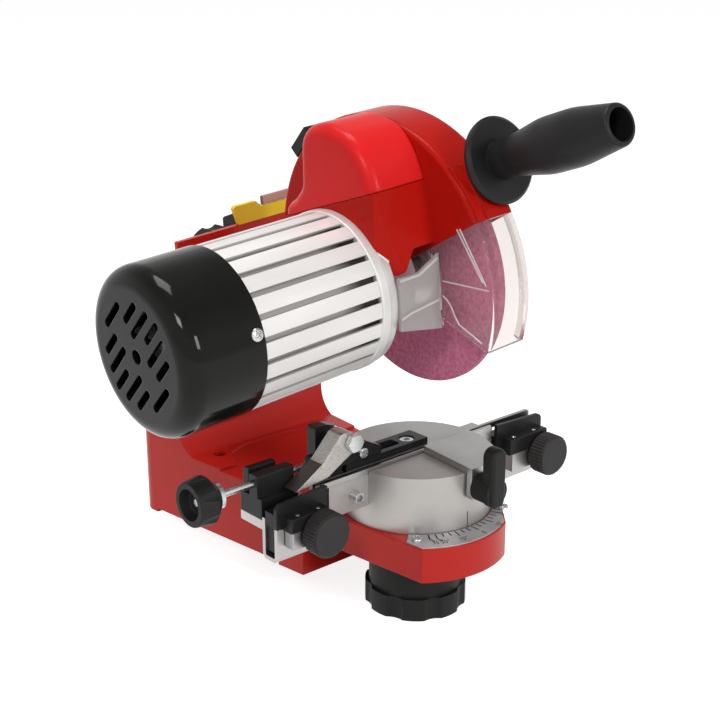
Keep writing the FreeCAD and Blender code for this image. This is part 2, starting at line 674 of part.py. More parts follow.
parts["pawl_bolt"] = in_vise(make_pawl_bolt())
NUT_LEFT, NUT_RIGHT = -117.0, -90.5


def make_adjuster_block():
    """Block on the channel's flange that the adjuster screws through."""
    front = CHANNEL_BACK + GAP
    waist = -1.0
    block = box(NUT_LEFT, NUT_RIGHT, front, FLANGE_BACK - 0.5, FLANGE_TOP, waist)
    nut_wall = prism([(8.2, waist - 1), (15.6, waist - 1), (15.6, 12.4, 1), (8.2, 12.4, 1.5)], "YZ",
                     NUT_LEFT, NUT_RIGHT)
    rear_wall = prism([(18.8, waist - 1), (FLANGE_BACK - 0.5, waist - 1), (FLANGE_BACK - 0.5, 13.4, 1.5),
                       (18.8, 13.4, 1)],
                      "YZ", NUT_LEFT + 2, NUT_RIGHT - 5)
    block = fused([block, nut_wall, rear_wall])
    return block.cut(rod("X", ADJUSTER_R + RUN, NUT_LEFT - 1, NUT_RIGHT + 1, ADJUSTER_Y, ADJUSTER_Z))


parts["adjuster_block"] = in_vise(make_adjuster_block())
KNOB_BACK_X = ADJUSTER_KNOB_FACE + ADJUSTER_KNOB_LENGTH
adjuster = rod("X", ADJUSTER_R, ADJUSTER_KNOB_FACE + 5, ADJUSTER_END, ADJUSTER_Y, ADJUSTER_Z)
collar = rod("X", COLLAR_R, KNOB_BACK_X, KNOB_BACK_X + COLLAR_THICK, ADJUSTER_Y, ADJUSTER_Z)
parts["adjuster_screw"] = in_vise(adjuster.fuse(collar).removeSplitter())


def make_adjuster_knob():
    """Hollow-faced knob with shallow lobes."""
    start = ADJUSTER_KNOB_FACE
    knob = turned([(start, 0), (start, ADJUSTER_KNOB_R - 1.5, 1), (start + 11, ADJUSTER_KNOB_R, 2),
                   (KNOB_BACK_X, 8.5, 1),
                   (KNOB_BACK_X, 0)], "X", ADJUSTER_Y, ADJUSTER_Z)
    knob = knob.cut(turned([(start - 1, 0), (start - 1, 9.6), (start + 6, 7.5, 1), (start + 6, 0)], "X",
                           ADJUSTER_Y,
                           ADJUSTER_Z))
    for index in range(6):
        angle = math.pi * (index + 0.5) / 3
        reach = ADJUSTER_KNOB_R + 5.2
        knob = knob.cut(rod("X", 6.5, start - 1, start + 12, ADJUSTER_Y + reach * math.cos(angle),
                            ADJUSTER_Z + reach * math.sin(angle)))
    return knob.cut(rod("X", ADJUSTER_R, start + 5, KNOB_BACK_X + 1, ADJUSTER_Y, ADJUSTER_Z))


parts["adjuster_knob"] = in_vise(make_adjuster_knob())


# ================================================================ chain supports
def knob_slot(knob_x, knob_z):
    """Upright slot that lets a rest rise past the screw of its knob."""
    half = KNOB_SCREW_R + GAP
    return box(knob_x - half, knob_x + half, -40, 20, knob_z - half - REST_TRAVEL, knob_z + half)


def make_rest(wall_in, wall_out, block_in, block_out, knob_x, drop):
    """Chain rest: front wall, inner block, clamp block and a tongue below."""
    wall_front = CHANNEL_FRONT - 0.5
    low = CHANNEL_FRONT_TOP + 0.4 - drop
    wall = prism([(wall_in, low, 1), (wall_out, low, 1), (wall_out, 0.4, 4), (wall_in, JAW_TOP, 0.5)],
                 "XZ", wall_front,
                 wall_front + REST_WALL)
    inner_back = CHANNEL_BACK - CHANNEL_WALL - GAP
    inner = box(wall_in + 0.4, wall_out - 0.6, wall_front + 1, inner_back, low, REST_TOP)
    rib = box(block_in - RIB_REACH, wall_out - 3, wall_front + 1, RIB_BACK, low, RIB_TOP)
    block = prism([(wall_front, BLOCK_BOTTOM - drop / 2), (BLOCK_FRONT, BLOCK_BOTTOM - drop / 2, 0.8),
                   (BLOCK_FRONT, BLOCK_TOP, 0.8), (wall_front, BLOCK_TOP)], "YZ", block_in, block_out)
    tongue = box(wall_in + 2, wall_out - 2, CHANNEL_FRONT + CHANNEL_WALL + GAP, inner_back,
                 CHANNEL_BOTTOM + 5 - drop, low + 1)
    rest = fused([wall, inner, rib, block, tongue])
    for share in (0.2, 0.75):
        x = block_in + share * (block_out - block_in)
        rest = rest.cut(rod("Z", 1.5, BLOCK_TOP - 3, BLOCK_TOP + 1, x, (BLOCK_FRONT + wall_front) / 2))
    return rest.cut(knob_slot(knob_x, KNOB_Z - drop))


def make_channel(start, end, spigot_end, drop, flange_back):
    """Aluminium channel with a rear flange whose end is held in the beam."""
    front, back, wall = CHANNEL_FRONT, CHANNEL_BACK, CHANNEL_WALL
    section = [(front, CHANNEL_FRONT_TOP - drop, 0.6), (front, CHANNEL_BOTTOM - drop, 3.5),
               (back, CHANNEL_BOTTOM - drop, 3.5),
               (back, FLANGE_BOTTOM), (flange_back, FLANGE_BOTTOM, 0.8), (flange_back, FLANGE_TOP, 0.8),
               (back, FLANGE_TOP), (back, CHANNEL_REAR_TOP, 0.6), (back - wall, CHANNEL_REAR_TOP, 0.6),
               (back - wall, CHANNEL_BOTTOM + wall - drop, 1.2),
               (front + wall, CHANNEL_BOTTOM + wall - drop, 1.2),
               (front + wall, CHANNEL_FRONT_TOP - drop, 0.6)]
    channel = prism(section, "YZ", start, end)
    spigot = box(spigot_end, start + SPIGOT_LAP, back, back + SPIGOT_WIDTH, FLANGE_BOTTOM, SPIGOT_TOP)
    return channel.fuse(spigot).removeSplitter()


def make_shoe(block_in, block_out, knob_x, drop):
    """Steel block under the clamp block, with the slot for the screw."""
    top = BLOCK_BOTTOM - drop / 2
    low = BLOCK_BOTTOM - SHOE_HEIGHT - drop
    shoe = box(block_in + 2.5, block_out - 1, BLOCK_FRONT + 0.2, CHANNEL_FRONT - 0.5, low, top)
    return shoe.cut(knob_slot(knob_x, KNOB_Z - drop))


def make_knob(knob_x, knob_z):
    """Knurled clamp knob with its screw."""
    back = BLOCK_FRONT - GAP
    grip = toothed(KNOB_TEETH, KNOB_R, 0.6, "XZ", KNOB_FACE_Y + 1.2, back - 1, knob_x, knob_z)
    core = turned([(KNOB_FACE_Y, 0), (KNOB_FACE_Y, KNOB_R - 1.2, 0.8), (KNOB_FACE_Y + 2, KNOB_R - 0.7),
                   (back - 2, KNOB_R - 0.7), (back, KNOB_R - 2.5, 1), (back, 0)], "Y", knob_x, knob_z)
    screw = rod("Y", KNOB_SCREW_R, back - 1, CHANNEL_BACK - 0.4, knob_x, knob_z)
    return fused([grip, core, screw])


def mirrored(shape):
    """The left-hand twin of a part drawn on the right of the turret."""
    return shape.mirror(V(), V(1, 0, 0))


for hand, wall_in, wall_out, block_in, block_out, knob_x, drop, ch_in, ch_out, spigot_end, flange_back in (
        ("left", 80.2, 117.4, 85.4, 112.5, 93.0, 0.0, -BEAM_LEFT + FIT, 117.0, -BEAM_LEFT - SPIGOT_DEPTH,
         FLANGE_BACK),
        ("right", 61.0, 102.7, 65.5, 99.8, 94.6, 3.0, BEAM_RIGHT + FIT, 99.2, BEAM_RIGHT - SPIGOT_DEPTH,
         CHANNEL_BACK + SPIGOT_WIDTH)):
    flip = mirrored if hand == "left" else (lambda shape: shape)
    rest = make_rest(wall_in, wall_out, block_in, block_out, knob_x, drop)
    channel = make_channel(ch_in, ch_out, spigot_end, drop, flange_back)
    channel = channel.cut(rod("Y", KNOB_SCREW_R + RUN, -30, 20, knob_x, KNOB_Z - drop))
    if hand == "right":
        # lower inner corner cut off, to swing past the shelf of the base
        low = CHANNEL_BOTTOM - drop
        relief = [(ch_in - 1, low - 1), (ch_in + CHANNEL_RELIEF, low - 1),
                  (ch_in - 1, low + CHANNEL_RELIEF)]
        channel = channel.cut(prism(relief, "XZ", CHANNEL_FRONT - 1, CHANNEL_BACK + 1))
    parts["chain_rest_" + hand] = in_vise(flip(rest))
    parts["rest_channel_" + hand] = in_vise(flip(channel))
    parts["rest_shoe_" + hand] = in_vise(flip(make_shoe(block_in, block_out, knob_x, drop)))
    parts["rest_knob_" + hand] = in_vise(flip(make_knob(knob_x, KNOB_Z - drop)))

# ================================================================ tilt bracket
def make_tilt_bracket():
    """Cast plate on the tilt bolt: thin web with a rim, a hub, ribs and two
    ears that hold the pivot pin."""
    front = COLUMN_FRONT_Y - GAP - BRACKET_THICK
    web = front + BRACKET_WEB
    back = COLUMN_FRONT_Y - GAP
    face = [(BRACKET_LEFT, -4, 6), (-30, BRACKET_BOTTOM, 10), (26, BRACKET_BOTTOM, 12),
            (BRACKET_RIGHT, -2, 8),
            (BRACKET_RIGHT, BRACKET_TOP, 3), (BRACKET_LEFT, BRACKET_TOP, 1)]
    plate = prism(face, "XZ", front, web)
    hub = rod("Y", BRACKET_HUB_R, front, back, 0, 0)
    ribs = [box(BRACKET_LEFT + 6, BRACKET_RIGHT - 6, web - 1, back - 2, z, z + RIB_THICK) for z in (2, 26)]
    ribs.append(prism([(-34, BRACKET_BOTTOM + 3), (-30, BRACKET_BOTTOM + 3), (-30, BRACKET_TOP - 4),
                       (-34, BRACKET_TOP - 4)],
                      "XZ", web - 1, back - 2))
    plate = fused([plate, hub] + ribs)
    ear_side = [(front + 1, -16), (front + 1, 26), (PIVOT_Y, PIVOT_RISE + PIVOT_BOSS_R),
                (PIVOT_Y - 8, PIVOT_RISE - 8)]
    for left in (PIVOT_LEFT - GAP - EAR_THICK, PIVOT_RIGHT + GAP):
        ear = rod("X", PIVOT_BOSS_R, left, left + EAR_THICK, PIVOT_Y, PIVOT_RISE)
        plate = plate.fuse(ear).fuse(prism(ear_side, "YZ", left, left + EAR_THICK))
    bore = rod("X", PIVOT_PIN_R + RUN, -90, 20, PIVOT_Y, PIVOT_RISE)
    plate = plate.cut(bore).cut(rod("Y", TILT_BOLT_R + RUN, front - 1, back + 1, 0, 0))
    return plate.cut(hexagon(BOLT_AF, "XZ", front - 4, front + 5, 0, 0)).removeSplitter()


parts["tilt_bracket"] = tilted(make_tilt_bracket())


def make_tilt_bolt():
    front = COLUMN_FRONT_Y - GAP - BRACKET_THICK
    head = hexagon(BOLT_AF, "XZ", front - 2.5, front + 5, 0, 0)
    return head.fuse(rod("Y", TILT_BOLT_R, front + 4, BASE_REAR_Y + TILT_KNOB_LENGTH + 3, 0,
                         0)).removeSplitter()


parts["tilt_bolt"] = tilted(make_tilt_bolt())
parts["tilt_washer"] = tilted(tube("Y", 15, TILT_BOLT_R + RUN, BASE_REAR_Y + GAP, BASE_REAR_Y + GAP + 2.5,
                                   0, 0))


def make_tilt_knob():
    """Lobed grip about Y, drawn directly behind the column."""
    start = BASE_REAR_Y + GAP + 2.5
    end = start + TILT_KNOB_LENGTH
    grip = rod("Y", TILT_KNOB_R, start + 3, end, 0, 0)
    for index in range(6):
        angle = math.pi * (index + 0.5) / 3
        reach = TILT_KNOB_R + 6.6
        grip = grip.cut(rod("Y", 9, start, end + 1, reach * math.cos(angle), reach * math.sin(angle)))
    knob = grip.fuse(rod("Y", 13, start, start + 4, 0, 0))
    return knob.cut(rod("Y", TILT_BOLT_R + RUN, start - 1, end + 2, 0, 0)).removeSplitter()


parts["tilt_knob"] = tilted(make_tilt_knob())
parts["pivot_pin"] = tilted(rod("X", PIVOT_PIN_R, PIVOT_LEFT - GAP - EAR_THICK - 1.5,
                                PIVOT_RIGHT + GAP + EAR_THICK + 1.5,
                                PIVOT_Y, PIVOT_RISE))

# ================================================================ switch
SWITCH_FRONT = COLUMN_FRONT_Y - GAP - BRACKET_THICK
FRAME_THICK = 3.4
FRAME_TALL = 12.8
FRAME_LOW = 8.5
FRAME_RIGHT = 32.0
DECK = 5.2
BUTTON_SIZE = 10.0
BUTTON_DEPTH = 5.6
BUTTON_TRAVEL = 1.5
BUTTON_X = (5.0, 19.0)
FLAP_LEFT = -2.5
FLAP_RIGHT = 31.0
FLAP_TALL = 4.2
FLAP_THICK = 3.0
BODY_LEFT = -13.0
BODY_RIGHT = 31.0
BODY_BACK = 19.4
BOX_BACK = 42.0
BOX_BOTTOM = 19.0
GLAND_R = 7.0
GLAND_X = 8.0
GLAND_Z = 27.0
CORD_R = 3.2


def make_switch_frame():
    """Yellow front plate of the switch: a tall end, a notch and a low run."""
    tall, low = BRACKET_TOP + FRAME_TALL, BRACKET_TOP + FRAME_LOW
    side = [(-23.2, BRACKET_TOP), (FRAME_RIGHT, BRACKET_TOP), (FRAME_RIGHT, low), (-4.5, low, 0.8),
            (-8.3, tall, 1.5),
            (-27.1, tall, 2)]
    return prism(side, "XZ", SWITCH_FRONT, SWITCH_FRONT + FRAME_THICK)


def make_switch_body():
    """Black switch box: a deck behind the frame and a box behind the plate."""
    front = SWITCH_FRONT + FRAME_THICK
    deck_top = BRACKET_TOP + DECK
    deck = box(BODY_LEFT, BODY_RIGHT, front, BODY_BACK, BRACKET_TOP, deck_top)
    rear = prism([(COLUMN_FRONT_Y - GAP, BOX_BOTTOM), (BOX_BACK, BOX_BOTTOM, 2), (BOX_BACK, 36, 3),
                  (BODY_BACK, deck_top),
                  (COLUMN_FRONT_Y - GAP, deck_top)], "YZ", BODY_LEFT + 1, BODY_RIGHT - 3)
    body = deck.fuse(rear)
    for x in BUTTON_X:
        half = BUTTON_SIZE / 2 + GAP
        body = body.cut(box(x - half, x + half, front + 0.8, front + 0.8 + BUTTON_DEPTH + 2 * GAP,
                            BRACKET_TOP + 1, deck_top + 1))
    return body.cut(rod("Y", GLAND_R - 1, BOX_BACK - 6, BOX_BACK + 1, GLAND_X, GLAND_Z)).removeSplitter()


def make_button(x):
    front = SWITCH_FRONT + FRAME_THICK + 0.8 + GAP
    low = BRACKET_TOP + 1 + GAP + BUTTON_TRAVEL
    top = BRACKET_TOP + DECK + 1.6
    half = BUTTON_SIZE / 2
    return prism([(x - half, low), (x + half, low), (x + half, top, 1), (x - half, top, 1)], "XZ", front,
                 front + BUTTON_DEPTH)


def make_switch_flap():
    """Smoke-clear strip that folds back over the two buttons."""
    y = SWITCH_FRONT + FLAP_THICK / 2
    pivot = BRACKET_TOP + FRAME_LOW + GAP + FLAP_THICK / 2
    plate = box(FLAP_LEFT, FLAP_RIGHT, y - FLAP_THICK / 2, y + FLAP_THICK / 2, pivot, pivot + FLAP_TALL)
    return plate.fuse(rod("X", FLAP_THICK / 2, FLAP_LEFT, FLAP_RIGHT, y, pivot)).removeSplitter()


def make_gland():
    """Cable gland on the back of the switch box."""
    gland = turned([(BOX_BACK - 6, 0), (BOX_BACK - 6, GLAND_R - 1), (BOX_BACK, GLAND_R - 1),
                    (BOX_BACK, GLAND_R + 1),
                    (BOX_BACK + 4, GLAND_R + 1, 0.5), (BOX_BACK + 4, GLAND_R - 1.5),
                    (BOX_BACK + 13, GLAND_R - 2, 1),
                    (BOX_BACK + 13, 0)], "Y", GLAND_X, GLAND_Z)
    return gland.cut(rod("Y", CORD_R, BOX_BACK - 7, BOX_BACK + 14, GLAND_X, GLAND_Z))


parts["switch_frame"] = tilted(make_switch_frame())
parts["switch_body"] = tilted(make_switch_body())
parts["start_button"] = tilted(make_button(BUTTON_X[0]))
parts["stop_button"] = tilted(make_button(BUTTON_X[1]))
parts["switch_flap"] = tilted(make_switch_flap())
parts["cable_gland"] = tilted(make_gland())

# ================================================================ head casting
def sector(radius, x0, x1, angle0, angle1):
    """Pie slice about the wheel axis; 0 points to the operator, 90 is up."""
    steps = max(2, int(abs(angle1 - angle0) / 30) + 1)
    reach = radius * 1.6
    points = [(0, 0)]
    for index in range(steps + 1):
        a = math.radians(angle0 + (angle1 - angle0) * index / steps)
        points.append((-reach * math.cos(a), reach * math.sin(a)))
    return prism(points, "YZ", x0, x1)


HOOD_SEAM = 62.0
SEAM_FRONT = -37.0
SKIRT_FRONT = -40.0
SKIRT_BOTTOM = 14.5


def on_drum(shape):
    """The wheel guard's rim is struck from a centre off the wheel's axis."""
    return shape.translated(V(0, DRUM_Y, DRUM_Z))


def make_head_casting():
    """Motor flange, box round the hub, wheel guard and the rear arm."""
    inner_r = GUARD_R - GUARD_WALL
    drum = on_drum(turned([(GUARD_LEFT, 0), (GUARD_LEFT, GUARD_R, 3), (GUARD_RIGHT, GUARD_R),
                           (GUARD_RIGHT, inner_r),
                           (GUARD_LEFT + GUARD_WALL, inner_r, 2), (GUARD_LEFT + GUARD_WALL, 0)], "X", 0, 0))
    drum = drum.common(sector(GUARD_R + 10, GUARD_LEFT - 1, GUARD_RIGHT + 1, GUARD_CUT_ANGLE,
                              GUARD_REAR_ANGLE))
    for left in (GUARD_LEFT + 1.2, GUARD_LEFT + 8.0):
        bead = on_drum(tube("X", GUARD_R + 1.0, inner_r + 1, left, left + 1.4, 0, 0))
        drum = drum.fuse(bead.common(sector(GUARD_R + 10, left - 1, left + 3, GUARD_CUT_ANGLE, 52)))
    skirt_side = [(SKIRT_FRONT - 5, SKIRT_BOTTOM, 3), (SEAM_FRONT, HOOD_SEAM), (44, HOOD_SEAM - 27),
                  (48, -20, 8),
                  (30, -34, 8), (10, -34), (10, SKIRT_BOTTOM)]
    skirt = prism(skirt_side, "YZ", HOOD_LEFT, GUARD_LEFT + 1)
    inner_side = [(SKIRT_FRONT - 5 + WALL, SKIRT_BOTTOM - 30), (SEAM_FRONT + WALL, HOOD_SEAM - 4),
                  (36, HOOD_SEAM - 31),
                  (42, -18), (28, -29), (10, -29), (5, SKIRT_BOTTOM - 30)]
    skirt = skirt.cut(prism(inner_side, "YZ", RING_RIGHT + 9, GUARD_LEFT - 2))
    skirt = skirt.cut(rod("X", RING_R, HOOD_LEFT - 1, RING_RIGHT, 0, 0)).cut(skirt_chamfer())
    notch = prism([(-47.5, SKIRT_BOTTOM - 2), (-47.5, SKIRT_BOTTOM), (-38.5, 27.2, 3), (-22, 27.2),
                   (-22, SKIRT_BOTTOM - 2)], "XZ", -60, -20)
    skirt = skirt.cut(notch)
    flange = rod("X", RING_R - 1, RING_RIGHT, RING_RIGHT + 5, 0, 0)
    casting = fused([drum, skirt, flange])
    arm_side = [(40, 26), (96, -6), (126, PIVOT_RISE - MOTOR_RISE + PIVOT_BOSS_R),
                (126, PIVOT_RISE - MOTOR_RISE - PIVOT_BOSS_R),
                (96, -38), (40, -24)]
    arm = prism(arm_side, "YZ", PIVOT_LEFT + 4, PIVOT_LEFT + 24)
    boss = rod("X", PIVOT_BOSS_R, PIVOT_LEFT, PIVOT_RIGHT, PIVOT_Y - MOTOR_Y, PIVOT_RISE - MOTOR_RISE)
    casting = casting.fuse(arm).fuse(boss)
    casting = casting.cut(rod("X", PIVOT_PIN_R + RUN, -90, 20, PIVOT_Y - MOTOR_Y, PIVOT_RISE - MOTOR_RISE))
    casting = casting.cut(rod("X", HUB_R + 0.2, RING_RIGHT - 1, GUARD_LEFT + GUARD_WALL + 1, 0, 0))
    return casting.removeSplitter()


def skirt_chamfer():
    """Slanted wedge off the skirt's front left corner, down to the motor ring."""
    top = V(HOOD_LEFT, SEAM_FRONT, HOOD_SEAM)
    foot = V(-50, SKIRT_FRONT - 3.5, 24)
    ridge = foot - top
    to_ring = V(RING_RIGHT, -36, 30.2) - foot
    start = top - ridge * 0.02
    corners = [start, start + to_ring * 3, start + V(-30, 0, 0), start + V(-20, -20, 0)]
    wire = Part.makePolygon(corners[:2] + corners[3:] + corners[:1])
    return Part.Face(wire).extrude(ridge * 1.6)


def handle_frame(shape):
    """From the handle's own frame (+Z out along the grip) to the head."""
    shape = shape.copy()
    shape.rotate(V(), V(1, 0, 0), 90 - HANDLE_RISE)
    shape.translate(V(HANDLE_X, HANDLE_DISC_Y, HANDLE_DISC_Z))
    return shape


def make_handle_boss():
    return handle_frame(rod("Z", 9.5, -26, HANDLE_DISC_BACK, 0, 0))


casting = make_head_casting()
boss = make_handle_boss().cut(on_drum(rod("X", GUARD_R - GUARD_WALL - 0.5, GUARD_LEFT - 5,
                                          GUARD_RIGHT + 30, 0, 0)))
casting = casting.fuse(boss).cut(handle_frame(rod("Z", HANDLE_STUD_R, -16, 0, 0, 0))).removeSplitter()
parts["head_casting"] = in_head(casting)


def make_hood():
    """D-shaped cover above the motor flange, a shell open underneath."""
    low = HOOD_SEAM - 14
    side = [(SEAM_FRONT, low), (SEAM_FRONT, HOOD_SEAM + 1, 3), (-31.5, 77, 40), (-20.5, 90, 25),
            (2, 95.5, 34),
            (20.5, 90.5, 14), (22.7, 56, 10), (31, 47.5, 8), (43, 42, 2), (43, low - 14)]
    face = Part.Face(outline(side, "YZ", HOOD_LEFT))
    solid = face.extrude(V(GUARD_LEFT - 0.2 - HOOD_LEFT, 0, 0))
    front_edges = [e for e in solid.Edges if e.BoundBox.XMax < HOOD_LEFT + 0.01]
    solid = solid.makeFillet(1.6, front_edges)
    inner = Part.Face(face.OuterWire.makeOffset2D(-HOOD_WALL)).translated(V(HOOD_WALL, 0, 0))
    solid = solid.cut(inner.extrude(V(60, 0, 0)))
    keep = prism([(SKIRT_FRONT - 20, HOOD_SEAM + GAP), (20, HOOD_SEAM + GAP), (60, HOOD_SEAM - 24),
                  (60, 120),
                  (SKIRT_FRONT - 20, 120)], "YZ", -80, 0)
    return solid.common(keep)


parts["hood_cover"] = in_head(make_hood())


def make_side_cover():
    """Flat side of the wheel guard, off to change the wheel."""
    right = GUARD_RIGHT + COVER_THICK
    disc = on_drum(turned([(GUARD_RIGHT, 0), (GUARD_RIGHT, GUARD_R), (right, GUARD_R, 1.8), (right, 0)],
                          "X", 0, 0))
    disc = disc.cut(rod("X", COVER_HOLE_R, GUARD_RIGHT - 1, right + 3, 0, 0))
    disc = disc.common(sector(GUARD_R + 10, GUARD_RIGHT, right + 1, GUARD_CUT_ANGLE, GUARD_REAR_ANGLE))
    return disc.cut(handle_frame(rod("Z", 10, -40, 20, 0, 0)))


parts["guard_side_cover"] = in_head(make_side_cover())


def make_clear_guard():
    """Clear eye shield: rim, left wall and an apron beside the hub."""
    wall = 2.2
    inner_edge = 42.0
    lip = CLEAR_RIGHT
    rim = turned([(GUARD_LEFT, inner_edge), (GUARD_LEFT, CLEAR_R, 2), (lip, CLEAR_R), (lip, CLEAR_R - 6),
                  (lip - wall, CLEAR_R - 6), (lip - wall, CLEAR_R - wall),
                  (GUARD_LEFT + wall, CLEAR_R - wall),
                  (GUARD_LEFT + wall, inner_edge)], "X", 0, 0)
    rim = rim.common(sector(GUARD_R, GUARD_LEFT - 1, lip + 1, CLEAR_LOW_ANGLE, GUARD_CUT_ANGLE))
    top = SKIRT_BOTTOM - GAP
    left = RING_RIGHT + 5 + GAP
    apron = prism([(left, -16), (GUARD_LEFT + 1, -23), (GUARD_LEFT + 1, 22), (-39, top), (left, top)],
                  "XZ", SKIRT_FRONT - 7.2, SKIRT_FRONT - 5.2)
    return rim.fuse(apron).removeSplitter()


parts["clear_guard"] = in_head(make_clear_guard())

# ================================================================ motor
def make_housing():
    """Ribbed aluminium extrusion: a tube with narrow grooves."""
    shell = tube("X", MOTOR_R, MOTOR_R - HOUSING_WALL - GROOVE_DEPTH, HOUSING_LEFT, RING_LEFT, 0, 0)
    for index in range(GROOVE_COUNT):
        angle = 360.0 * (index + 0.5) / GROOVE_COUNT
        groove = box(HOUSING_LEFT - 1, RING_LEFT + 1, MOTOR_R - GROOVE_DEPTH, MOTOR_R + 2,
                     -GROOVE_WIDTH / 2, GROOVE_WIDTH / 2)
        groove.rotate(V(), V(1, 0, 0), angle)
        shell = shell.cut(groove)
    return shell


parts["motor_housing"] = in_head(make_housing())


def make_front_bell():
    """Cast ring at the wheel end, with the hub that carries a bearing."""
    ring = turned([(RING_LEFT, 0), (RING_LEFT, RING_R, 1.2), (RING_RIGHT - 0.1, RING_R, 1.2),
                   (RING_RIGHT - 0.1, 0)], "X", 0, 0)
    hub = turned([(RING_RIGHT - 1, 0), (RING_RIGHT - 1, HUB_R), (GUARD_LEFT + 2, HUB_R - 1, 2),
                  (GUARD_LEFT + 2, 0)], "X", 0, 0)
    bell = ring.fuse(hub)
    bell = bell.cut(rod("X", 17.5, -90, -44, 0, 0))
    bell = bell.cut(rod("X", BEARING_R, -44.5, -31, 0, 0))
    return bell.cut(rod("X", SHAFT_R + 1, -60, -10, 0, 0)).removeSplitter()


parts["front_bell"] = in_head(make_front_bell())


def make_rear_bell():
    bell = turned([(-156, 0), (-156, BEARING_R + 4), (-151, MOTOR_R - 6.4, 4), (-151, MOTOR_R - CAP_WALL),
                   (HOUSING_LEFT, MOTOR_R - CAP_WALL), (HOUSING_LEFT, 0)],
                  "X", 0, 0)
    bell = bell.cut(rod("X", BEARING_R, REAR_BEARING_X - 1, -140, 0, 0))
    return bell.cut(rod("X", SHAFT_R + 1, -160, -140, 0, 0))


parts["rear_bell"] = in_head(make_rear_bell())
rings = [tube("X", BEARING_R - RUN, SHAFT_R + RUN, left, right, 0, 0)
         for left, right in ((FRONT_BEARING_X, -32), (REAR_BEARING_X, -142))]
parts["bearings"] = in_head(Part.makeCompound(rings))
STATOR_R = MOTOR_R - HOUSING_WALL - GROOVE_DEPTH - RUN
parts["stator"] = in_head(tube("X", STATOR_R, STATOR_BORE, STATOR_LEFT, STATOR_RIGHT, 0, 0))


CAP_SCREW_X = -150.3
CAP_SCREW_ANGLES = (167, 47, 287)


def cap_screw(angle, top):
    """Pan head set in the side of the cap, drawn up and turned round X."""
    head = turned([(RING_R - 1, 0), (RING_R - 1, 3.6), (top, 3.6), (top, 0)], "Y", 0, 0)
    head.rotate(V(), V(1, 0, 0), angle)
    return head.translated(V(CAP_SCREW_X, 0, 0))


def make_cap():
    """Fan cover: a rounded shell with slanted slots in its flat face."""
    outer = [(CAP_FACE_X, 0), (CAP_FACE_X, RING_R, CAP_SHOULDER_R), (HOUSING_LEFT, RING_R),
             (HOUSING_LEFT, 0)]
    inner_face = CAP_FACE_X + CAP_WALL
    inner = [(inner_face, 0), (inner_face, RING_R - CAP_WALL, CAP_SHOULDER_R - CAP_WALL),
             (HOUSING_LEFT + 1, RING_R - CAP_WALL), (HOUSING_LEFT + 1, 0)]
    cap = turned(outer, "X", 0, 0).cut(turned(inner, "X", 0, 0))
    for row, spots, length in ((-3, (0,), 22), (-2, (-15.7, 15.7), 17.5), (-1, (-18, 18), 24),
                               (0, (-24, 24), 18.5),
                               (1, (-18, 18), 24), (2, (-15.7, 15.7), 17.5), (3, (0,), 22)):
        for spot in spots:
            v = row * SLOT_PITCH
            half = SLOT_W / 2
            run = length / 2
            slot = prism([(spot - run, v - half, half * 0.98), (spot + run, v - half, half * 0.98),
                          (spot + run, v + half, half * 0.98), (spot - run, v + half, half * 0.98)],
                         "YZ", CAP_FACE_X - 1, CAP_FACE_X + CAP_WALL + 1)
            slot.rotate(V(), V(1, 0, 0), -45)
            cap = cap.cut(slot)
    cap = cap.cut(rod("X", 4.0, CAP_FACE_X - 1, CAP_FACE_X + 5, 0, 0))
    return cut_all(cap, [cap_screw(angle, RING_R + 5) for angle in CAP_SCREW_ANGLES])


parts["fan_cap"] = in_head(make_cap())


def make_cap_screws():
    return Part.makeCompound([cap_screw(angle, RING_R + 1.2) for angle in CAP_SCREW_ANGLES])


parts["cap_screws"] = in_head(make_cap_screws())

# ================================================================ spindle
def make_shaft():
    return turned([(-176, 0), (-176, SHAFT_R - 1), (-160, SHAFT_R - 1), (-160, SHAFT_R), (14, SHAFT_R, 1),
                   (14, 0)], "X", 0, 0)


parts["motor_shaft"] = in_head(make_shaft())
parts["rotor"] = in_head(tube("X", STATOR_BORE - ROTOR_AIR, SHAFT_R, STATOR_LEFT, STATOR_RIGHT, 0, 0))


def make_fan():
    hub = tube("X", 11, SHAFT_R - 1, -174, -162, 0, 0)
    plate = tube("X", 36, SHAFT_R - 1, -164, -162, 0, 0)
    fan = hub.fuse(plate)
    for index in range(8):
        blade = box(-174, -163, 10, 36, -0.9, 0.9)
        blade.rotate(V(), V(1, 0, 0), 45.0 * index)
        fan = fan.fuse(blade)
    return fan.removeSplitter()


parts["cooling_fan"] = in_head(make_fan())


def make_wheel():
    half = WHEEL_THICK / 2
    return turned([(-half, WHEEL_BORE), (-half, WHEEL_R, 1.2), (half, WHEEL_R, 1.2), (half, WHEEL_BORE)],
                  "X", 0, 0)


parts["grinding_wheel"] = in_head(make_wheel())
half_wheel = WHEEL_THICK / 2


def make_flange(sign):
    outer = [(half_wheel, SHAFT_R), (half_wheel, FLANGE_R), (half_wheel + 2, FLANGE_R, 0.8),
             (half_wheel + FLANGE_THICK, FLANGE_R - 8, 1), (half_wheel + FLANGE_THICK, SHAFT_R)]
    flange = turned(outer, "X", 0, 0)
    spigot = tube("X", WHEEL_BORE - RUN, SHAFT_R, 0.1, half_wheel, 0, 0)
    flange = flange.fuse(spigot).removeSplitter()
    if sign < 0:
        flange = flange.mirror(V(), V(1, 0, 0))
    return flange


parts["wheel_flanges"] = in_head(Part.makeCompound([make_flange(-1), make_flange(1)]))
nut = hexagon(17, "YZ", half_wheel + FLANGE_THICK, half_wheel + FLANGE_THICK + 6, 0, 0)
parts["spindle_nut"] = in_head(nut.cut(rod("X", SHAFT_R, 0, 30, 0, 0)))

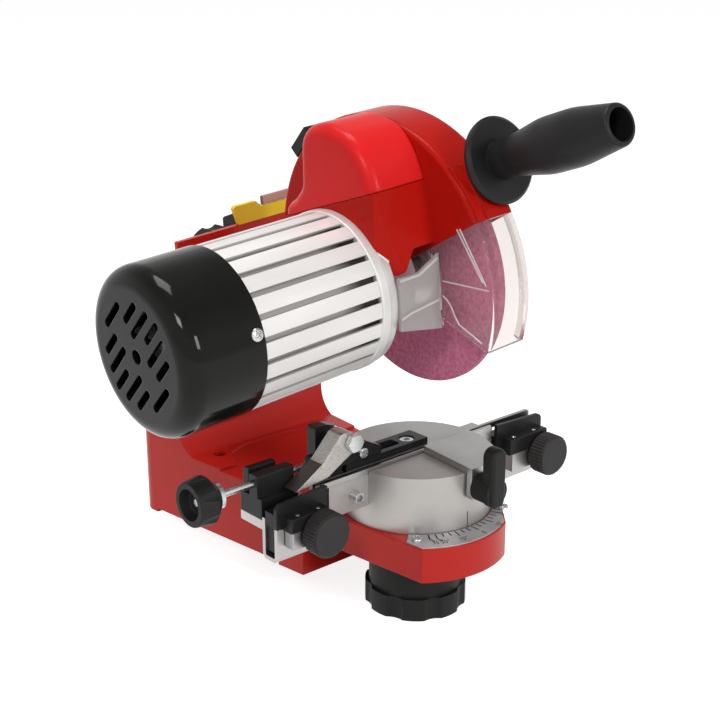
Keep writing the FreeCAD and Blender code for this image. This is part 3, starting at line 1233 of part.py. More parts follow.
# ================================================================ handle
def make_grip():
    """Waisted hand grip on its round finger plate, hollow at the free end."""
    grip = turned([(0, 0), (0, 11.5), (12, 10.9, 15), (38, 15.2, 50), (60, 15.3, 60),
                   (HANDLE_LENGTH, 11, 2),
                   (HANDLE_LENGTH, 0)], "Z", 0, 0)
    plate = turned([(HANDLE_DISC_BACK, 0), (HANDLE_DISC_BACK, HANDLE_DISC_R - 1, 1),
                    (0.6, HANDLE_DISC_R, 1.2),
                    (2.4, HANDLE_DISC_R - 2.2, 1), (2.4, 0)], "Z", 0, 0)
    grip = grip.fuse(plate)
    grip = grip.cut(rod("Z", 8.7, HANDLE_LENGTH - 16, HANDLE_LENGTH + 1, 0, 0))
    return grip.cut(rod("Z", HANDLE_STUD_R, -5, 60, 0, 0)).removeSplitter()


parts["handle_grip"] = in_head(handle_frame(make_grip()))
parts["handle_stud"] = in_head(handle_frame(rod("Z", HANDLE_STUD_R, -15, 60, 0, 0)))


def make_rear_block():
    """Black dust outlet on the back of the wheel guard, open to the rear."""
    block = box(GUARD_LEFT + 1, GUARD_RIGHT - 2, -9, 11, GUARD_R - 2, GUARD_R + 11)
    block = block.cut(box(GUARD_LEFT + 4, GUARD_RIGHT - 5, -7, 20, GUARD_R + 2, GUARD_R + 8))
    block.rotate(V(), V(1, 0, 0), -46)
    return block.cut(on_drum(rod("X", GUARD_R, GUARD_LEFT - 5, GUARD_RIGHT + 5, 0, 0)))


parts["dust_outlet"] = in_head(make_rear_block())

for name, shape in parts.items():
    shape.translated(V(-BASE_CENTRE_X, 0, 0)).exportStep("parts/" + name + ".step")
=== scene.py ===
"""Looks of a bench grinder for saw chain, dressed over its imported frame."""

import logging
import math
from dataclasses import dataclass, field
from enum import Enum

import bmesh
import bpy
from mathutils import Matrix, Vector
from mathutils.bvhtree import BVHTree


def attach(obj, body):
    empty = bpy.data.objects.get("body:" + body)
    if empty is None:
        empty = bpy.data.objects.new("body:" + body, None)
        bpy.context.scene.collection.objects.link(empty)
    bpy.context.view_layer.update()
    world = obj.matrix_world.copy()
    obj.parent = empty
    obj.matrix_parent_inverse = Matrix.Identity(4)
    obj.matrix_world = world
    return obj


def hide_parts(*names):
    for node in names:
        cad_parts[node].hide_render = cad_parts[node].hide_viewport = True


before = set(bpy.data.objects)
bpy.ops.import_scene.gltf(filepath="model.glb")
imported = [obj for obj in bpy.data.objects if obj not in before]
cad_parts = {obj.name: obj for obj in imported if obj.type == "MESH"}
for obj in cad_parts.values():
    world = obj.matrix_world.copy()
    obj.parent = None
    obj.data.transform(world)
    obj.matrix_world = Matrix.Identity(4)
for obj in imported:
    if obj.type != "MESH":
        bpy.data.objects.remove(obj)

MM = 0.001
NOISE_LOW, NOISE_HIGH = 0.3, 0.7
BEVEL_RAYS = 6
LINES = 6.0
SHARPEST = 0.4
WHITE = (1.0, 1.0, 1.0, 1.0)
LOG = logging.getLogger("bench_grinder")

Colour = tuple[float, float, float]
Spot = tuple[float, float, float]
Flat = tuple[float, float]
Socket = bpy.types.NodeSocket
Material = bpy.types.Material
Mesh = bmesh.types.BMesh
Point = bmesh.types.BMVert
Thing = bpy.types.Object


# -------- places
class Datum(Enum):
    """Named frames that the machine's sizes are given in, in millimetres."""

    PART = "part"
    VISE = "vise"
    TILT = "tilt"
    HEAD = "head"
    HANDLE = "handle"


@dataclass(frozen=True)
class Layout:
    """Where each named frame stands on the machine at rest."""

    swivel: Spot = (7.5, -141.5, 86.0)
    tilt_axis: Spot = (12.2, 0.0, 166.0)
    tilt_degrees: float = -4.55
    motor: Spot = (0.0, -134.0, 36.3)
    handle_seat: Spot = (3.6, -68.7, 71.7)
    handle_lean: float = 70.0

    def matrix(self, datum: Datum) -> Matrix:
        """Finds the transform of a frame.

        Args:
            datum: The frame to look up.

        Returns:
            Matrix from that frame to the part, both in millimetres.
        """
        if datum is Datum.PART:
            return Matrix.Identity(4)
        if datum is Datum.VISE:
            return Matrix.Translation(Vector(self.swivel))
        turn = Matrix.Rotation(math.radians(self.tilt_degrees), 4, "Y")
        tilt = Matrix.Translation(Vector(self.tilt_axis)) @ turn
        if datum is Datum.TILT:
            return tilt
        head = tilt @ Matrix.Translation(Vector(self.motor))
        if datum is Datum.HEAD:
            return head
        lean = Matrix.Rotation(math.radians(self.handle_lean), 4, "X")
        return head @ Matrix.Translation(Vector(self.handle_seat)) @ lean


LAYOUT = Layout()


# -------- node graphs
class Nodes:
    """Small builder for one node tree."""

    def __init__(self, tree: bpy.types.NodeTree) -> None:
        """Takes up a tree."""
        self.tree = tree

    def feed(self, socket: Socket, value: object) -> None:
        """Links an input to a socket, or sets it to a value.

        Args:
            socket: The input.
            value: The socket or the value.
        """
        if isinstance(value, Socket):
            self.tree.links.new(value, socket)
        else:
            socket.default_value = value

    def add(
        self, kind: str, inputs: dict[str | int, object] | None = None, **settings: object
    ) -> bpy.types.Node:
        """Adds one node.

        Args:
            kind: Blender's name of the node type.
            inputs: Values or sockets for its inputs.
            settings: Attributes of the node itself.

        Returns:
            The new node.
        """
        node = self.tree.nodes.new(kind)
        for name, value in settings.items():
            setattr(node, name, value)
        for name, value in (inputs or {}).items():
            self.feed(node.inputs[name], value)
        return node

    def calc(self, operation: str, first: object, second: object) -> Socket:
        """Result of one sum on two numbers or sockets."""
        return self.add("ShaderNodeMath", {0: first, 1: second}, operation=operation).outputs[0]

    def split(self, place: Socket) -> bpy.types.NodeOutputs:
        """Sockets of a place's three parts."""
        return self.add("ShaderNodeSeparateXYZ", {0: place}).outputs

    def ramp(
        self, value: Socket, start: float, end: float, low: float = 0.0, high: float = 1.0
    ) -> Socket:
        """Value that runs from low to high as another goes from start to end."""
        inputs = {0: value, 1: start, 2: end, 3: low, 4: high}
        return self.add("ShaderNodeMapRange", inputs).outputs[0]

    def seen_white(self) -> Socket:
        """Finds the rays that show the white surroundings.

        Returns:
            Value that is 1 for rays from the eye, off gloss and through glass.
        """
        rays = self.add("ShaderNodeLightPath").outputs
        seen = self.calc("MAXIMUM", rays["Is Camera Ray"], rays["Is Glossy Ray"])
        return self.calc("MAXIMUM", seen, rays["Is Transmission Ray"])


class Graph(Nodes):
    """Builder for one material's shader nodes."""

    def __init__(self, name: str) -> None:
        """Starts an empty material.

        Args:
            name: Its name.
        """
        self.material = bpy.data.materials.new(name)
        self.material.use_nodes = True
        super().__init__(self.material.node_tree)
        self.tree.nodes.clear()
        self.shader = self.add("ShaderNodeBsdfPrincipled")
        self.add("ShaderNodeOutputMaterial", {"Surface": self.shader.outputs[0]})
        self.place = self.add("ShaderNodeTexCoord").outputs["Object"]

    def settle(self, **values: object) -> None:
        """Sets or links inputs of the surface shader, named with _ for a space."""
        for name, value in values.items():
            self.feed(self.shader.inputs[name.replace("_", " ")], value)

    def local(self, datum: Datum) -> Socket:
        """Finds the place in a named frame.

        Args:
            datum: The frame.

        Returns:
            Socket of the place in it, in metres.
        """
        back = LAYOUT.matrix(datum).inverted()
        inputs = {
            "Vector": self.place, "Location": tuple(back.translation * MM),
            "Rotation": tuple(back.to_euler())}
        return self.add("ShaderNodeMapping", inputs).outputs["Vector"]

    def stretched(self, place: Socket, stretch: Spot) -> Socket:
        """Place scaled by stretch along each axis."""
        return self.add("ShaderNodeMapping", {"Vector": place, "Scale": stretch}).outputs["Vector"]

    def reach(self, place: Socket, axis: str) -> tuple[Socket, Socket]:
        """Splits a place into its distance from an axis and its place along it.

        Args:
            place: The place to split.
            axis: X, Y or Z.

        Returns:
            Sockets of the distance and of the place along the axis.
        """
        parts = self.split(place)
        along = "XYZ".index(axis)
        across = [parts[index] for index in range(3) if index != along]
        flat = self.add("ShaderNodeCombineXYZ", {0: across[0], 1: across[1]}).outputs[0]
        length = self.add("ShaderNodeVectorMath", {0: flat}, operation="LENGTH")
        return length.outputs["Value"], parts[along]

    def noise(self, scale: float, detail: float = 3.0, where: Socket | None = None) -> Socket:
        """Noise value from 0 to 1.

        Args:
            scale: Blobs per metre.
            detail: Octaves of finer noise.
            where: Coordinates; the object's own if left out.

        Returns:
            The noise's value socket.
        """
        inputs = {"Vector": where or self.place, "Scale": scale, "Detail": detail}
        return self.add("ShaderNodeTexNoise", inputs).outputs[0]

    def rough(self, value: Socket, middle: float, less: float, more: float) -> None:
        """Sets a roughness that a noise moves about its middle."""
        self.settle(Roughness=self.ramp(value, NOISE_LOW, NOISE_HIGH, middle - less, middle + more))

    def tint(
        self, value: Socket, first: Colour, second: Colour,
        low: float = NOISE_LOW, high: float = NOISE_HIGH,
    ) -> Socket:
        """Makes a colour that runs from one to another.

        Args:
            value: What drives it.
            first: Colour up to low.
            second: Colour from high on.
            low: Where the change begins.
            high: Where it ends.

        Returns:
            The colour's socket.
        """
        ramp = self.add("ShaderNodeValToRGB", {0: value})
        ends = ramp.color_ramp.elements
        ends[0].position, ends[0].color = low, (*first, 1.0)
        ends[1].position, ends[1].color = high, (*second, 1.0)
        return ramp.outputs[0]

    def mixed(self, share: Socket, first: object, second: object) -> Socket:
        """Mixes two colours.

        Args:
            share: How much of the second shows.
            first: Colour or socket where share is 0.
            second: Colour or socket where share is 1.

        Returns:
            The mixed colour's socket.
        """
        ends = [item if isinstance(item, Socket) else (*item, 1.0) for item in (first, second)]
        inputs = {0: share, 6: ends[0], 7: ends[1]}
        return self.add("ShaderNodeMix", inputs, data_type="RGBA").outputs[2]

    def soft_edge(self, radius: float) -> Socket:
        """Normal that rounds sharp edges off by radius millimetres."""
        return self.add("ShaderNodeBevel", {"Radius": radius * MM}, samples=BEVEL_RAYS).outputs[0]

    def bump(self, height: Socket, depth: float, normal: Socket | None = None) -> Socket:
        """Normal bent by a height.

        Args:
            height: Height from 0 to 1.
            depth: Depth of the relief in millimetres.
            normal: Normal to start from.

        Returns:
            The bent normal's socket.
        """
        inputs = {"Height": height, "Distance": depth * MM, "Strength": 1.0}
        inputs |= {"Normal": normal} if normal is not None else {}
        return self.add("ShaderNodeBump", inputs).outputs[0]


# -------- finishes
class Coating:
    """Base of every finish: a finish draws itself on a graph."""

    def draw(self, graph: Graph) -> None:
        """Draws the finish on a graph."""
        raise NotImplementedError

    def material(self, name: str) -> Material:
        """Builds the finish's material.

        Args:
            name: The material's name.

        Returns:
            The new material.
        """
        graph = Graph(name)
        self.draw(graph)
        return graph.material


@dataclass(frozen=True)
class BareZone:
    """Part of a casting left unpainted: inside a radius about the motor's axis, left of a plane."""

    reach: float
    right: float
    colour: Colour
    metallic: float = 0.3

    def share(self, graph: Graph) -> Socket:
        """Marks the bare zone.

        Args:
            graph: The graph to draw on.

        Returns:
            Value that is 1 in the bare zone and 0 on the paint.
        """
        reach, along = graph.reach(graph.local(Datum.HEAD), "X")
        inside = graph.calc("LESS_THAN", reach, self.reach * MM)
        left = graph.calc("LESS_THAN", along, self.right * MM)
        return graph.calc("MULTIPLY", inside, left)


@dataclass(frozen=True)
class Enamel(Coating):
    """Gloss enamel sprayed on a casting, with orange peel and soft edges."""

    colour: Colour
    deep: Colour
    roughness: float = 0.3
    coat: float = 0.15
    shine: float = 0.2
    edge: float = 1.3
    bare: BareZone | None = None
    cloud: float = 9.0
    peel: float = 650.0
    peel_depth: float = 0.003
    vary: Flat = (0.03, 0.03)
    coat_roughness: float = 0.06

    def draw(self, graph: Graph) -> None:
        """Draws the enamel.

        Args:
            graph: The graph to draw on.
        """
        cloud = graph.noise(self.cloud, 2.0)
        peel = graph.noise(self.peel, 1.0)
        paint = graph.tint(cloud, self.deep, self.colour)
        if self.bare is not None:
            share = self.bare.share(graph)
            paint = graph.mixed(share, paint, self.bare.colour)
            graph.settle(Metallic=graph.calc("MULTIPLY", share, self.bare.metallic))
        graph.settle(Base_Color=paint, Specular_IOR_Level=self.shine)
        graph.rough(cloud, self.roughness, *self.vary)
        graph.settle(Coat_Weight=self.coat, Coat_Roughness=self.coat_roughness)
        graph.settle(Normal=graph.bump(peel, self.peel_depth, graph.soft_edge(self.edge)))


@dataclass(frozen=True)
class Moulded(Coating):
    """Moulded plastic or blackened steel: even colour with a faint grain."""

    colour: Colour
    light: Colour
    roughness: float = 0.45
    grain: float = 900.0
    depth: float = 0.01
    edge: float = 0.5
    coat: float = 0.0
    shine: float = 0.18
    cloud: float = 30.0
    vary: Flat = (0.04, 0.05)
    coat_roughness: float = 0.05

    def draw(self, graph: Graph) -> None:
        """Draws the plastic.

        Args:
            graph: The graph to draw on.
        """
        cloud = graph.noise(self.cloud)
        grain = graph.noise(self.grain, 2.0)
        colour = graph.tint(cloud, self.colour, self.light)
        graph.settle(Base_Color=colour, Specular_IOR_Level=self.shine)
        graph.rough(cloud, self.roughness, *self.vary)
        graph.settle(Coat_Weight=self.coat, Coat_Roughness=self.coat_roughness)
        graph.settle(Normal=graph.bump(grain, self.depth, graph.soft_edge(self.edge)))


class Grain(Enum):
    """Which way a metal's fine lines run, as a stretch of its noise."""

    ALONG_X = (4.0, 260.0, 260.0)
    EVEN = (220.0, 220.0, 220.0)


@dataclass(frozen=True)
class Metal(Coating):
    """Bare or plated metal with lines left by its working."""

    colour: Colour
    shade: Colour
    roughness: float = 0.35
    grain: Grain = Grain.EVEN
    depth: float = 0.006
    edge: float = 0.4
    metallic: float = 1.0
    cloud: float = 38.0
    vary: Flat = (0.06, 0.08)

    def draw(self, graph: Graph) -> None:
        """Draws the metal.

        Args:
            graph: The graph to draw on.
        """
        lines = graph.noise(LINES, 4.0, graph.stretched(graph.place, self.grain.value))
        colour = graph.tint(graph.noise(self.cloud), self.shade, self.colour)
        graph.settle(Base_Color=colour, Metallic=self.metallic)
        graph.rough(lines, self.roughness, *self.vary)
        graph.settle(Normal=graph.bump(lines, self.depth, graph.soft_edge(self.edge)))


@dataclass(frozen=True)
class Turned(Coating):
    """Metal turned on a lathe, with fine rings round the turret's axis."""

    colour: Colour
    shade: Colour
    roughness: float = 0.42
    pitch: float = 5200.0
    depth: float = 0.01
    metallic: float = 0.7
    cloud: float = 26.0
    edge: float = 0.35
    vary: Flat = (0.05, 0.07)

    def draw(self, graph: Graph) -> None:
        """Draws the turned metal.

        Args:
            graph: The graph to draw on.
        """
        reach, along = graph.reach(graph.local(Datum.VISE), "Z")
        rings_at = graph.add("ShaderNodeCombineXYZ", {0: reach, 2: along}).outputs[0]
        rings = graph.noise(self.pitch, 1.0, rings_at)
        colour = graph.tint(graph.noise(self.cloud), self.shade, self.colour)
        graph.settle(Base_Color=colour, Metallic=self.metallic)
        graph.rough(rings, self.roughness, *self.vary)
        graph.settle(Normal=graph.bump(rings, self.depth, graph.soft_edge(self.edge)))


@dataclass(frozen=True)
class Ribbed(Coating):
    """Extruded motor housing: satin lands over groove floors painted a darker grey as painted shade
    of the grooves, going near-black where they end at the ring.
    """

    land: Colour
    # floor: the groove floors' grey, darker than the lands as painted shade of the grooves
    floor: Colour
    floor_reach: float = 44.4
    land_reach: float = 45.9
    roughness: float = 0.5
    metallic: float = 0.4
    # dark: painted shade where the grooves end at the ring, reached between dark_from and dark_to
    dark: Colour = (0.02, 0.018, 0.016)
    dark_from: float = -92.0
    dark_to: float = -76.0
    wear: float = 0.9
    cloud: float = 45.0
    cloud_stretch: Spot = (0.3, 1.0, 1.0)
    depth: float = 0.006
    edge: float = 0.4
    vary: Flat = (0.06, 0.08)

    def draw(self, graph: Graph) -> None:
        """Draws the housing.

        Args:
            graph: The graph to draw on.
        """
        place = graph.local(Datum.HEAD)
        reach, along = graph.reach(place, "X")
        lines = graph.noise(LINES, 4.0, graph.stretched(place, Grain.ALONG_X.value))
        # Groove floors take the darker floor grey, painted shade of the grooves
        share = graph.ramp(reach, self.floor_reach * MM, self.land_reach * MM)
        worn = graph.noise(self.cloud, where=graph.stretched(place, self.cloud_stretch))
        land = graph.tint(worn, tuple(self.wear * part for part in self.land), self.land)
        # Painted shade: the floors run to near-black towards the ring, where the grooves end
        near = graph.ramp(along, self.dark_from * MM, self.dark_to * MM)
        floor = graph.mixed(near, self.floor, self.dark)
        graph.settle(Base_Color=graph.mixed(share, floor, land), Metallic=self.metallic)
        graph.rough(lines, self.roughness, *self.vary)
        graph.settle(Normal=graph.bump(lines, self.depth, graph.soft_edge(self.edge)))


@dataclass(frozen=True)
class ShieldZones:
    """Zones along the motor's axis where the eye shield is milky, or a tinted band."""

    milky_left: float = -23.6
    milky: Colour = (0.60, 0.58, 0.57)
    milky_clarity: float = 0.5
    band_right: float = -20.6
    band: Colour = (0.76, 0.71, 0.69)

    def blend(self, graph: Graph, tone: Socket, clarity: float) -> tuple[Socket, Socket]:
        """Lays the zones over the clear plastic.

        Args:
            graph: The graph to draw on.
            tone: The clear plastic's colour.
            clarity: How much light it lets through.

        Returns:
            Sockets of the colour and of the clarity with the zones.
        """
        along = graph.split(graph.local(Datum.HEAD))[0]
        milky = graph.calc("LESS_THAN", along, self.milky_left * MM)
        band = graph.calc("GREATER_THAN", along, self.band_right * MM)
        tone = graph.mixed(band, graph.mixed(milky, tone, self.milky), self.band)
        return tone, graph.ramp(milky, 0.0, 1.0, clarity, self.milky_clarity)


@dataclass(frozen=True)
class Clear(Coating):
    """Clear or smoked plastic that light passes through, with a painted edge look: its colour runs
    to the edge colour where it is seen edge-on.
    """

    colour: Colour
    # edge: colour seen at a grazing angle, painted in for the look of the walls' edges (darker on
    # the guard and the flap)
    edge: Colour
    haze: float = 0.06
    bend: float = 1.35
    clarity: float = 1.0
    zones: ShieldZones | None = None
    cloud: float = 60.0
    depth: float = 0.03
    facing: float = 0.35
    edge_from: float = 0.35
    edge_to: float = 0.95
    vary: float = 0.4

    def draw(self, graph: Graph) -> None:
        """Draws the clear plastic.

        Args:
            graph: The graph to draw on.
        """
        ripple = graph.noise(self.cloud, 2.0)
        # Painted edge look: the colour shifts with how edge-on the surface is to the eye, standing
        # in for the shade and gleam of clear walls
        facing = graph.add("ShaderNodeLayerWeight", {"Blend": self.facing}).outputs["Facing"]
        tone = graph.tint(facing, self.colour, self.edge, self.edge_from, self.edge_to)
        clarity = self.clarity
        if self.zones is not None:
            tone, clarity = self.zones.blend(graph, tone, clarity)
        graph.settle(Base_Color=tone, Transmission_Weight=clarity, IOR=self.bend)
        graph.rough(ripple, self.haze, self.haze * self.vary, self.haze * self.vary)
        graph.settle(Normal=graph.bump(ripple, self.depth))


@dataclass(frozen=True)
class GroundTip(Coating):
    """Brushed steel of the chain stop pawl, with the dark ground facet at its tip."""

    colour: Colour
    shade: Colour
    dark: Colour
    facet_right: float = -80.0
    facet_up: float = 0.4
    roughness: float = 0.4
    metallic: float = 0.85
    brushing: Spot = (60.0, 60.0, 300.0)
    depth: float = 0.03
    edge: float = 0.4
    vary: Flat = (0.08, 0.1)

    def draw(self, graph: Graph) -> None:
        """Draws the pawl.

        Args:
            graph: The graph to draw on.
        """
        along = graph.split(graph.local(Datum.VISE))[0]
        near = graph.calc("LESS_THAN", along, self.facet_right * MM)
        facing = graph.add("ShaderNodeTexCoord").outputs["Normal"]
        top = graph.calc("GREATER_THAN", graph.split(facing)[2], self.facet_up)
        facet = graph.calc("MULTIPLY", near, top)
        lines = graph.noise(LINES, 5.0, graph.stretched(graph.place, self.brushing))
        bright = graph.tint(lines, self.shade, self.colour)
        colour = graph.mixed(facet, bright, self.dark)
        graph.settle(Base_Color=colour, Metallic=self.metallic)
        graph.rough(lines, self.roughness, *self.vary)
        graph.settle(Normal=graph.bump(lines, self.depth, graph.soft_edge(self.edge)))


@dataclass(frozen=True)
class Abrasive(Coating):
    """Bonded grit of the grinding wheel."""

    colour: Colour
    pale: Colour
    grit: float = 1500.0
    cloud: float = 420.0
    depth: float = 0.12
    roughness: float = 0.85
    shine: float = 0.3

    def draw(self, graph: Graph) -> None:
        """Draws the abrasive.

        Args:
            graph: The graph to draw on.
        """
        cells = graph.add("ShaderNodeTexVoronoi", {"Vector": graph.place, "Scale": self.grit})
        grit = cells.outputs["Distance"]
        cloud = graph.noise(self.cloud, 4.0)
        colour = graph.tint(cloud, self.colour, self.pale)
        graph.settle(Base_Color=colour, Roughness=self.roughness, Specular_IOR_Level=self.shine)
        graph.settle(Normal=graph.bump(grit, self.depth))


class Finish(Enum):
    """Every finish on the machine."""

    RED_ENAMEL = Enamel((0.58, 0.022, 0.015), (0.53, 0.018, 0.012), coat=0.1, shine=0.14)
    HEAD_ENAMEL = Enamel(
        (0.48, 0.010, 0.006), (0.43, 0.008, 0.004), coat=0.05, shine=0.05,
        bare=BareZone(46.4, -54.2, (0.62, 0.61, 0.60)))
    HOOD_ENAMEL = Enamel((0.72, 0.017, 0.018), (0.66, 0.014, 0.015), 0.34, coat=0.05, shine=0.1)
    GUARD_ENAMEL = Enamel((0.44, 0.010, 0.007), (0.39, 0.008, 0.006), 0.35, coat=0.05, shine=0.08)
    SATIN_BLACK = Moulded((0.010, 0.010, 0.010), (0.015, 0.015, 0.014), 0.5)
    GRIP_BLACK = Moulded((0.010, 0.009, 0.010), (0.015, 0.014, 0.015), 0.42, 1400.0, 0.015)
    CAP_GLOSS = Moulded(
        (0.006, 0.006, 0.005), (0.008, 0.008, 0.007), 0.12, 300.0, 0.001, 0.8, 0.12, 0.1)
    FAN_PLASTIC = Moulded((0.10, 0.10, 0.10), (0.15, 0.15, 0.15), 0.5)
    BLACKENED_STEEL = Moulded((0.010, 0.010, 0.010), (0.017, 0.017, 0.017), 0.36, 1200.0, 0.008)
    KNOB_BLACK = Moulded((0.024, 0.022, 0.022), (0.036, 0.034, 0.033), 0.45, 1600.0, 0.015)
    TURRET_SATIN = Turned((0.46, 0.44, 0.42), (0.40, 0.385, 0.37))
    HOUSING_RIBBED = Ribbed((0.80, 0.78, 0.76), (0.36, 0.345, 0.33))
    CHANNEL_SATIN = Metal((0.47, 0.46, 0.45), (0.38, 0.375, 0.37), 0.36, Grain.ALONG_X)
    CAST_ALUMINIUM = Metal((0.74, 0.73, 0.71), (0.66, 0.65, 0.63), 0.5, metallic=0.4)
    BELL_SATIN = Metal((0.50, 0.50, 0.50), (0.42, 0.42, 0.42), 0.42, metallic=0.8)
    ZINC_PLATE = Metal((0.66, 0.67, 0.67), (0.48, 0.49, 0.50), 0.26)
    GROUND_STEEL = Metal((0.42, 0.41, 0.40), (0.33, 0.32, 0.31), 0.28, Grain.ALONG_X)
    PAWL_STEEL = GroundTip((0.56, 0.53, 0.50), (0.34, 0.32, 0.30), (0.085, 0.080, 0.076))
    ARM_SATIN = Metal((0.47, 0.46, 0.45), (0.40, 0.39, 0.38), 0.4)
    SCALE_SILVER = Metal((0.66, 0.64, 0.64), (0.40, 0.39, 0.41), 0.42, depth=0.003, metallic=0.75)
    LAMINATION = Metal((0.3, 0.27, 0.25), (0.22, 0.2, 0.19), 0.5)
    SWITCH_YELLOW = Moulded((0.92, 0.64, 0.018), (0.96, 0.68, 0.024), 0.35, 600.0, 0.01, 0.5, 0.1)
    START_GREEN = Moulded((0.03, 0.28, 0.06), (0.04, 0.36, 0.08), 0.35)
    STOP_RED = Moulded((0.45, 0.02, 0.02), (0.55, 0.03, 0.03), 0.35)
    FLAP_SMOKE = Clear((0.36, 0.17, 0.13), (0.24, 0.09, 0.07), 0.1, 1.3, 0.9)
    GUARD_CLEAR = Clear((0.90, 0.86, 0.85), (0.80, 0.79, 0.78), 0.03, 1.2, 0.97, ShieldZones())
    # Paler and less clear than the guard: painted highlight for the shield's ribs and apron bars
    GUARD_EDGE = Clear((0.95, 0.92, 0.92), (0.95, 0.94, 0.94), 0.05, 1.3, 0.4)
    PINK_GRIT = Abrasive((0.54, 0.13, 0.24), (0.72, 0.25, 0.39))
    SCALE_INK = Moulded((0.015, 0.015, 0.017), (0.022, 0.022, 0.022), 0.6, 900.0, 0.0, 0.05)


Outfit = dict[Finish, tuple[str, ...]]


class Wardrobe:
    """Makes each finish once and dresses objects with it."""

    def __init__(self) -> None:
        """Starts with no material made."""
        self.made: dict[Finish, Material] = {}

    def material(self, finish: Finish) -> Material:
        """Finds the material of a finish, made at its first use.

        Args:
            finish: The finish.

        Returns:
            Its material.
        """
        if finish not in self.made:
            self.made[finish] = finish.value.material(finish.name.lower())
        return self.made[finish]

    def dress(self, piece: Thing, finish: Finish) -> None:
        """Gives a piece one finish all over."""
        piece.data.materials.clear()
        piece.data.materials.append(self.material(finish))

    def dress_nodes(self, finishes: Outfit) -> None:
        """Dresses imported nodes.

        Args:
            finishes: The nodes' names under each finish.
        """
        for finish, nodes in finishes.items():
            for node in nodes:
                self.dress(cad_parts[node], finish)


WARDROBE = Wardrobe()


# -------- mesh making
def put(
    name: str, mesh: Mesh, datum: Datum, body: str, finish: Finish, smooth: float = 35.0
) -> Thing:
    """Turns a bmesh drawn in millimetres into a dressed piece on a body.

    Args:
        name: Name of the piece.
        mesh: Its mesh, in the datum's frame.
        datum: The frame it is drawn in.
        body: The body it moves with.
        finish: Its finish.
        smooth: Edges flatter than this many degrees are shaded smooth.

    Returns:
        The new object.
    """
    bmesh.ops.transform(mesh, matrix=Matrix.Scale(MM, 4) @ LAYOUT.matrix(datum), verts=mesh.verts)
    bmesh.ops.recalc_face_normals(mesh, faces=mesh.faces)
    data = bpy.data.meshes.new(name)
    mesh.to_mesh(data)
    mesh.free()
    piece = bpy.data.objects.new(name, data)
    bpy.context.scene.collection.objects.link(piece)
    data.shade_smooth()
    data.set_sharp_from_angle(angle=math.radians(smooth))
    WARDROBE.dress(piece, finish)
    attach(piece, body)
    return piece


def add_band(mesh: Mesh, first: list[Point], second: list[Point]) -> None:
    """Adds the faces between two closed rows of points.

    Args:
        mesh: The mesh to add to.
        first: One row.
        second: The other row.
    """
    count = len(first)
    for index in range(count):
        after = (index + 1) % count
        mesh.faces.new((first[index], second[index], second[after], first[after]))


def add_stroke(mesh: Mesh, start: Vector, end: Vector, half: float, rise: Vector) -> None:
    """Adds a straight bar that lies on a surface.

    Args:
        mesh: The mesh to add to.
        start: Where it begins.
        end: Where it ends.
        half: Half its width.
        rise: Its thickness, as a vector out of the surface.
    """
    side = (end - start).cross(rise).normalized() * half
    corners = [start - side, end - side, end + side, start + side]
    low = [mesh.verts.new(corner) for corner in corners]
    high = [mesh.verts.new(corner + rise) for corner in corners]
    mesh.faces.new(low)
    mesh.faces.new(list(reversed(high)))
    add_band(mesh, high, low)


def rounded(corners: list[tuple[float, ...]], step: float = 7.0) -> list[Flat]:
    """Rounds the corners of a flat outline.

    Args:
        corners: Corners (u, v) or (u, v, radius) in order.
        step: Largest turn between two points of an arc, in degrees.

    Returns:
        The points of the rounded outline.
    """
    points: list[Flat] = []
    count = len(corners)
    for index, corner in enumerate(corners):
        here = Vector(corner[:2])
        radius = corner[2] if len(corner) > 2 else 0.0
        to_here = (here - Vector(corners[index - 1][:2])).normalized()
        onward = (Vector(corners[(index + 1) % count][:2]) - here).normalized()
        turn = to_here.angle_signed(onward) * -1.0
        if radius <= 0.0 or abs(turn) < 1e-4:
            points.append(tuple(here))
            continue
        back = radius * math.tan(abs(turn) / 2)
        side = math.copysign(1.0, turn)
        centre = here - to_here * back + Vector((-to_here.y, to_here.x)) * radius * side
        spoke = here - to_here * back - centre
        steps = max(2, math.ceil(math.degrees(abs(turn)) / step))
        for part in range(steps + 1):
            points.append(tuple(centre + Matrix.Rotation(turn * part / steps, 2) @ spoke))
    return points


def inset(points: list[Flat], depth: float) -> list[Flat]:
    """Moves a closed outline inward, point by point.

    Args:
        points: The outline, counter-clockwise.
        depth: How far it moves.

    Returns:
        The moved outline.
    """
    moved = []
    count = len(points)
    for index, point in enumerate(points):
        before = (Vector(point) - Vector(points[index - 1])).normalized()
        after = (Vector(points[(index + 1) % count]) - Vector(point)).normalized()
        inward = Vector((-before.y - after.y, before.x + after.x)).normalized()
        lean = max(SHARPEST, inward.dot(Vector((-before.y, before.x))))
        moved.append(tuple(Vector(point) + inward * depth / lean))
    return moved


class Drive(Enum):
    """What the driver of a screw fits in."""

    CROSS = "cross"
    SLOT = "slot"


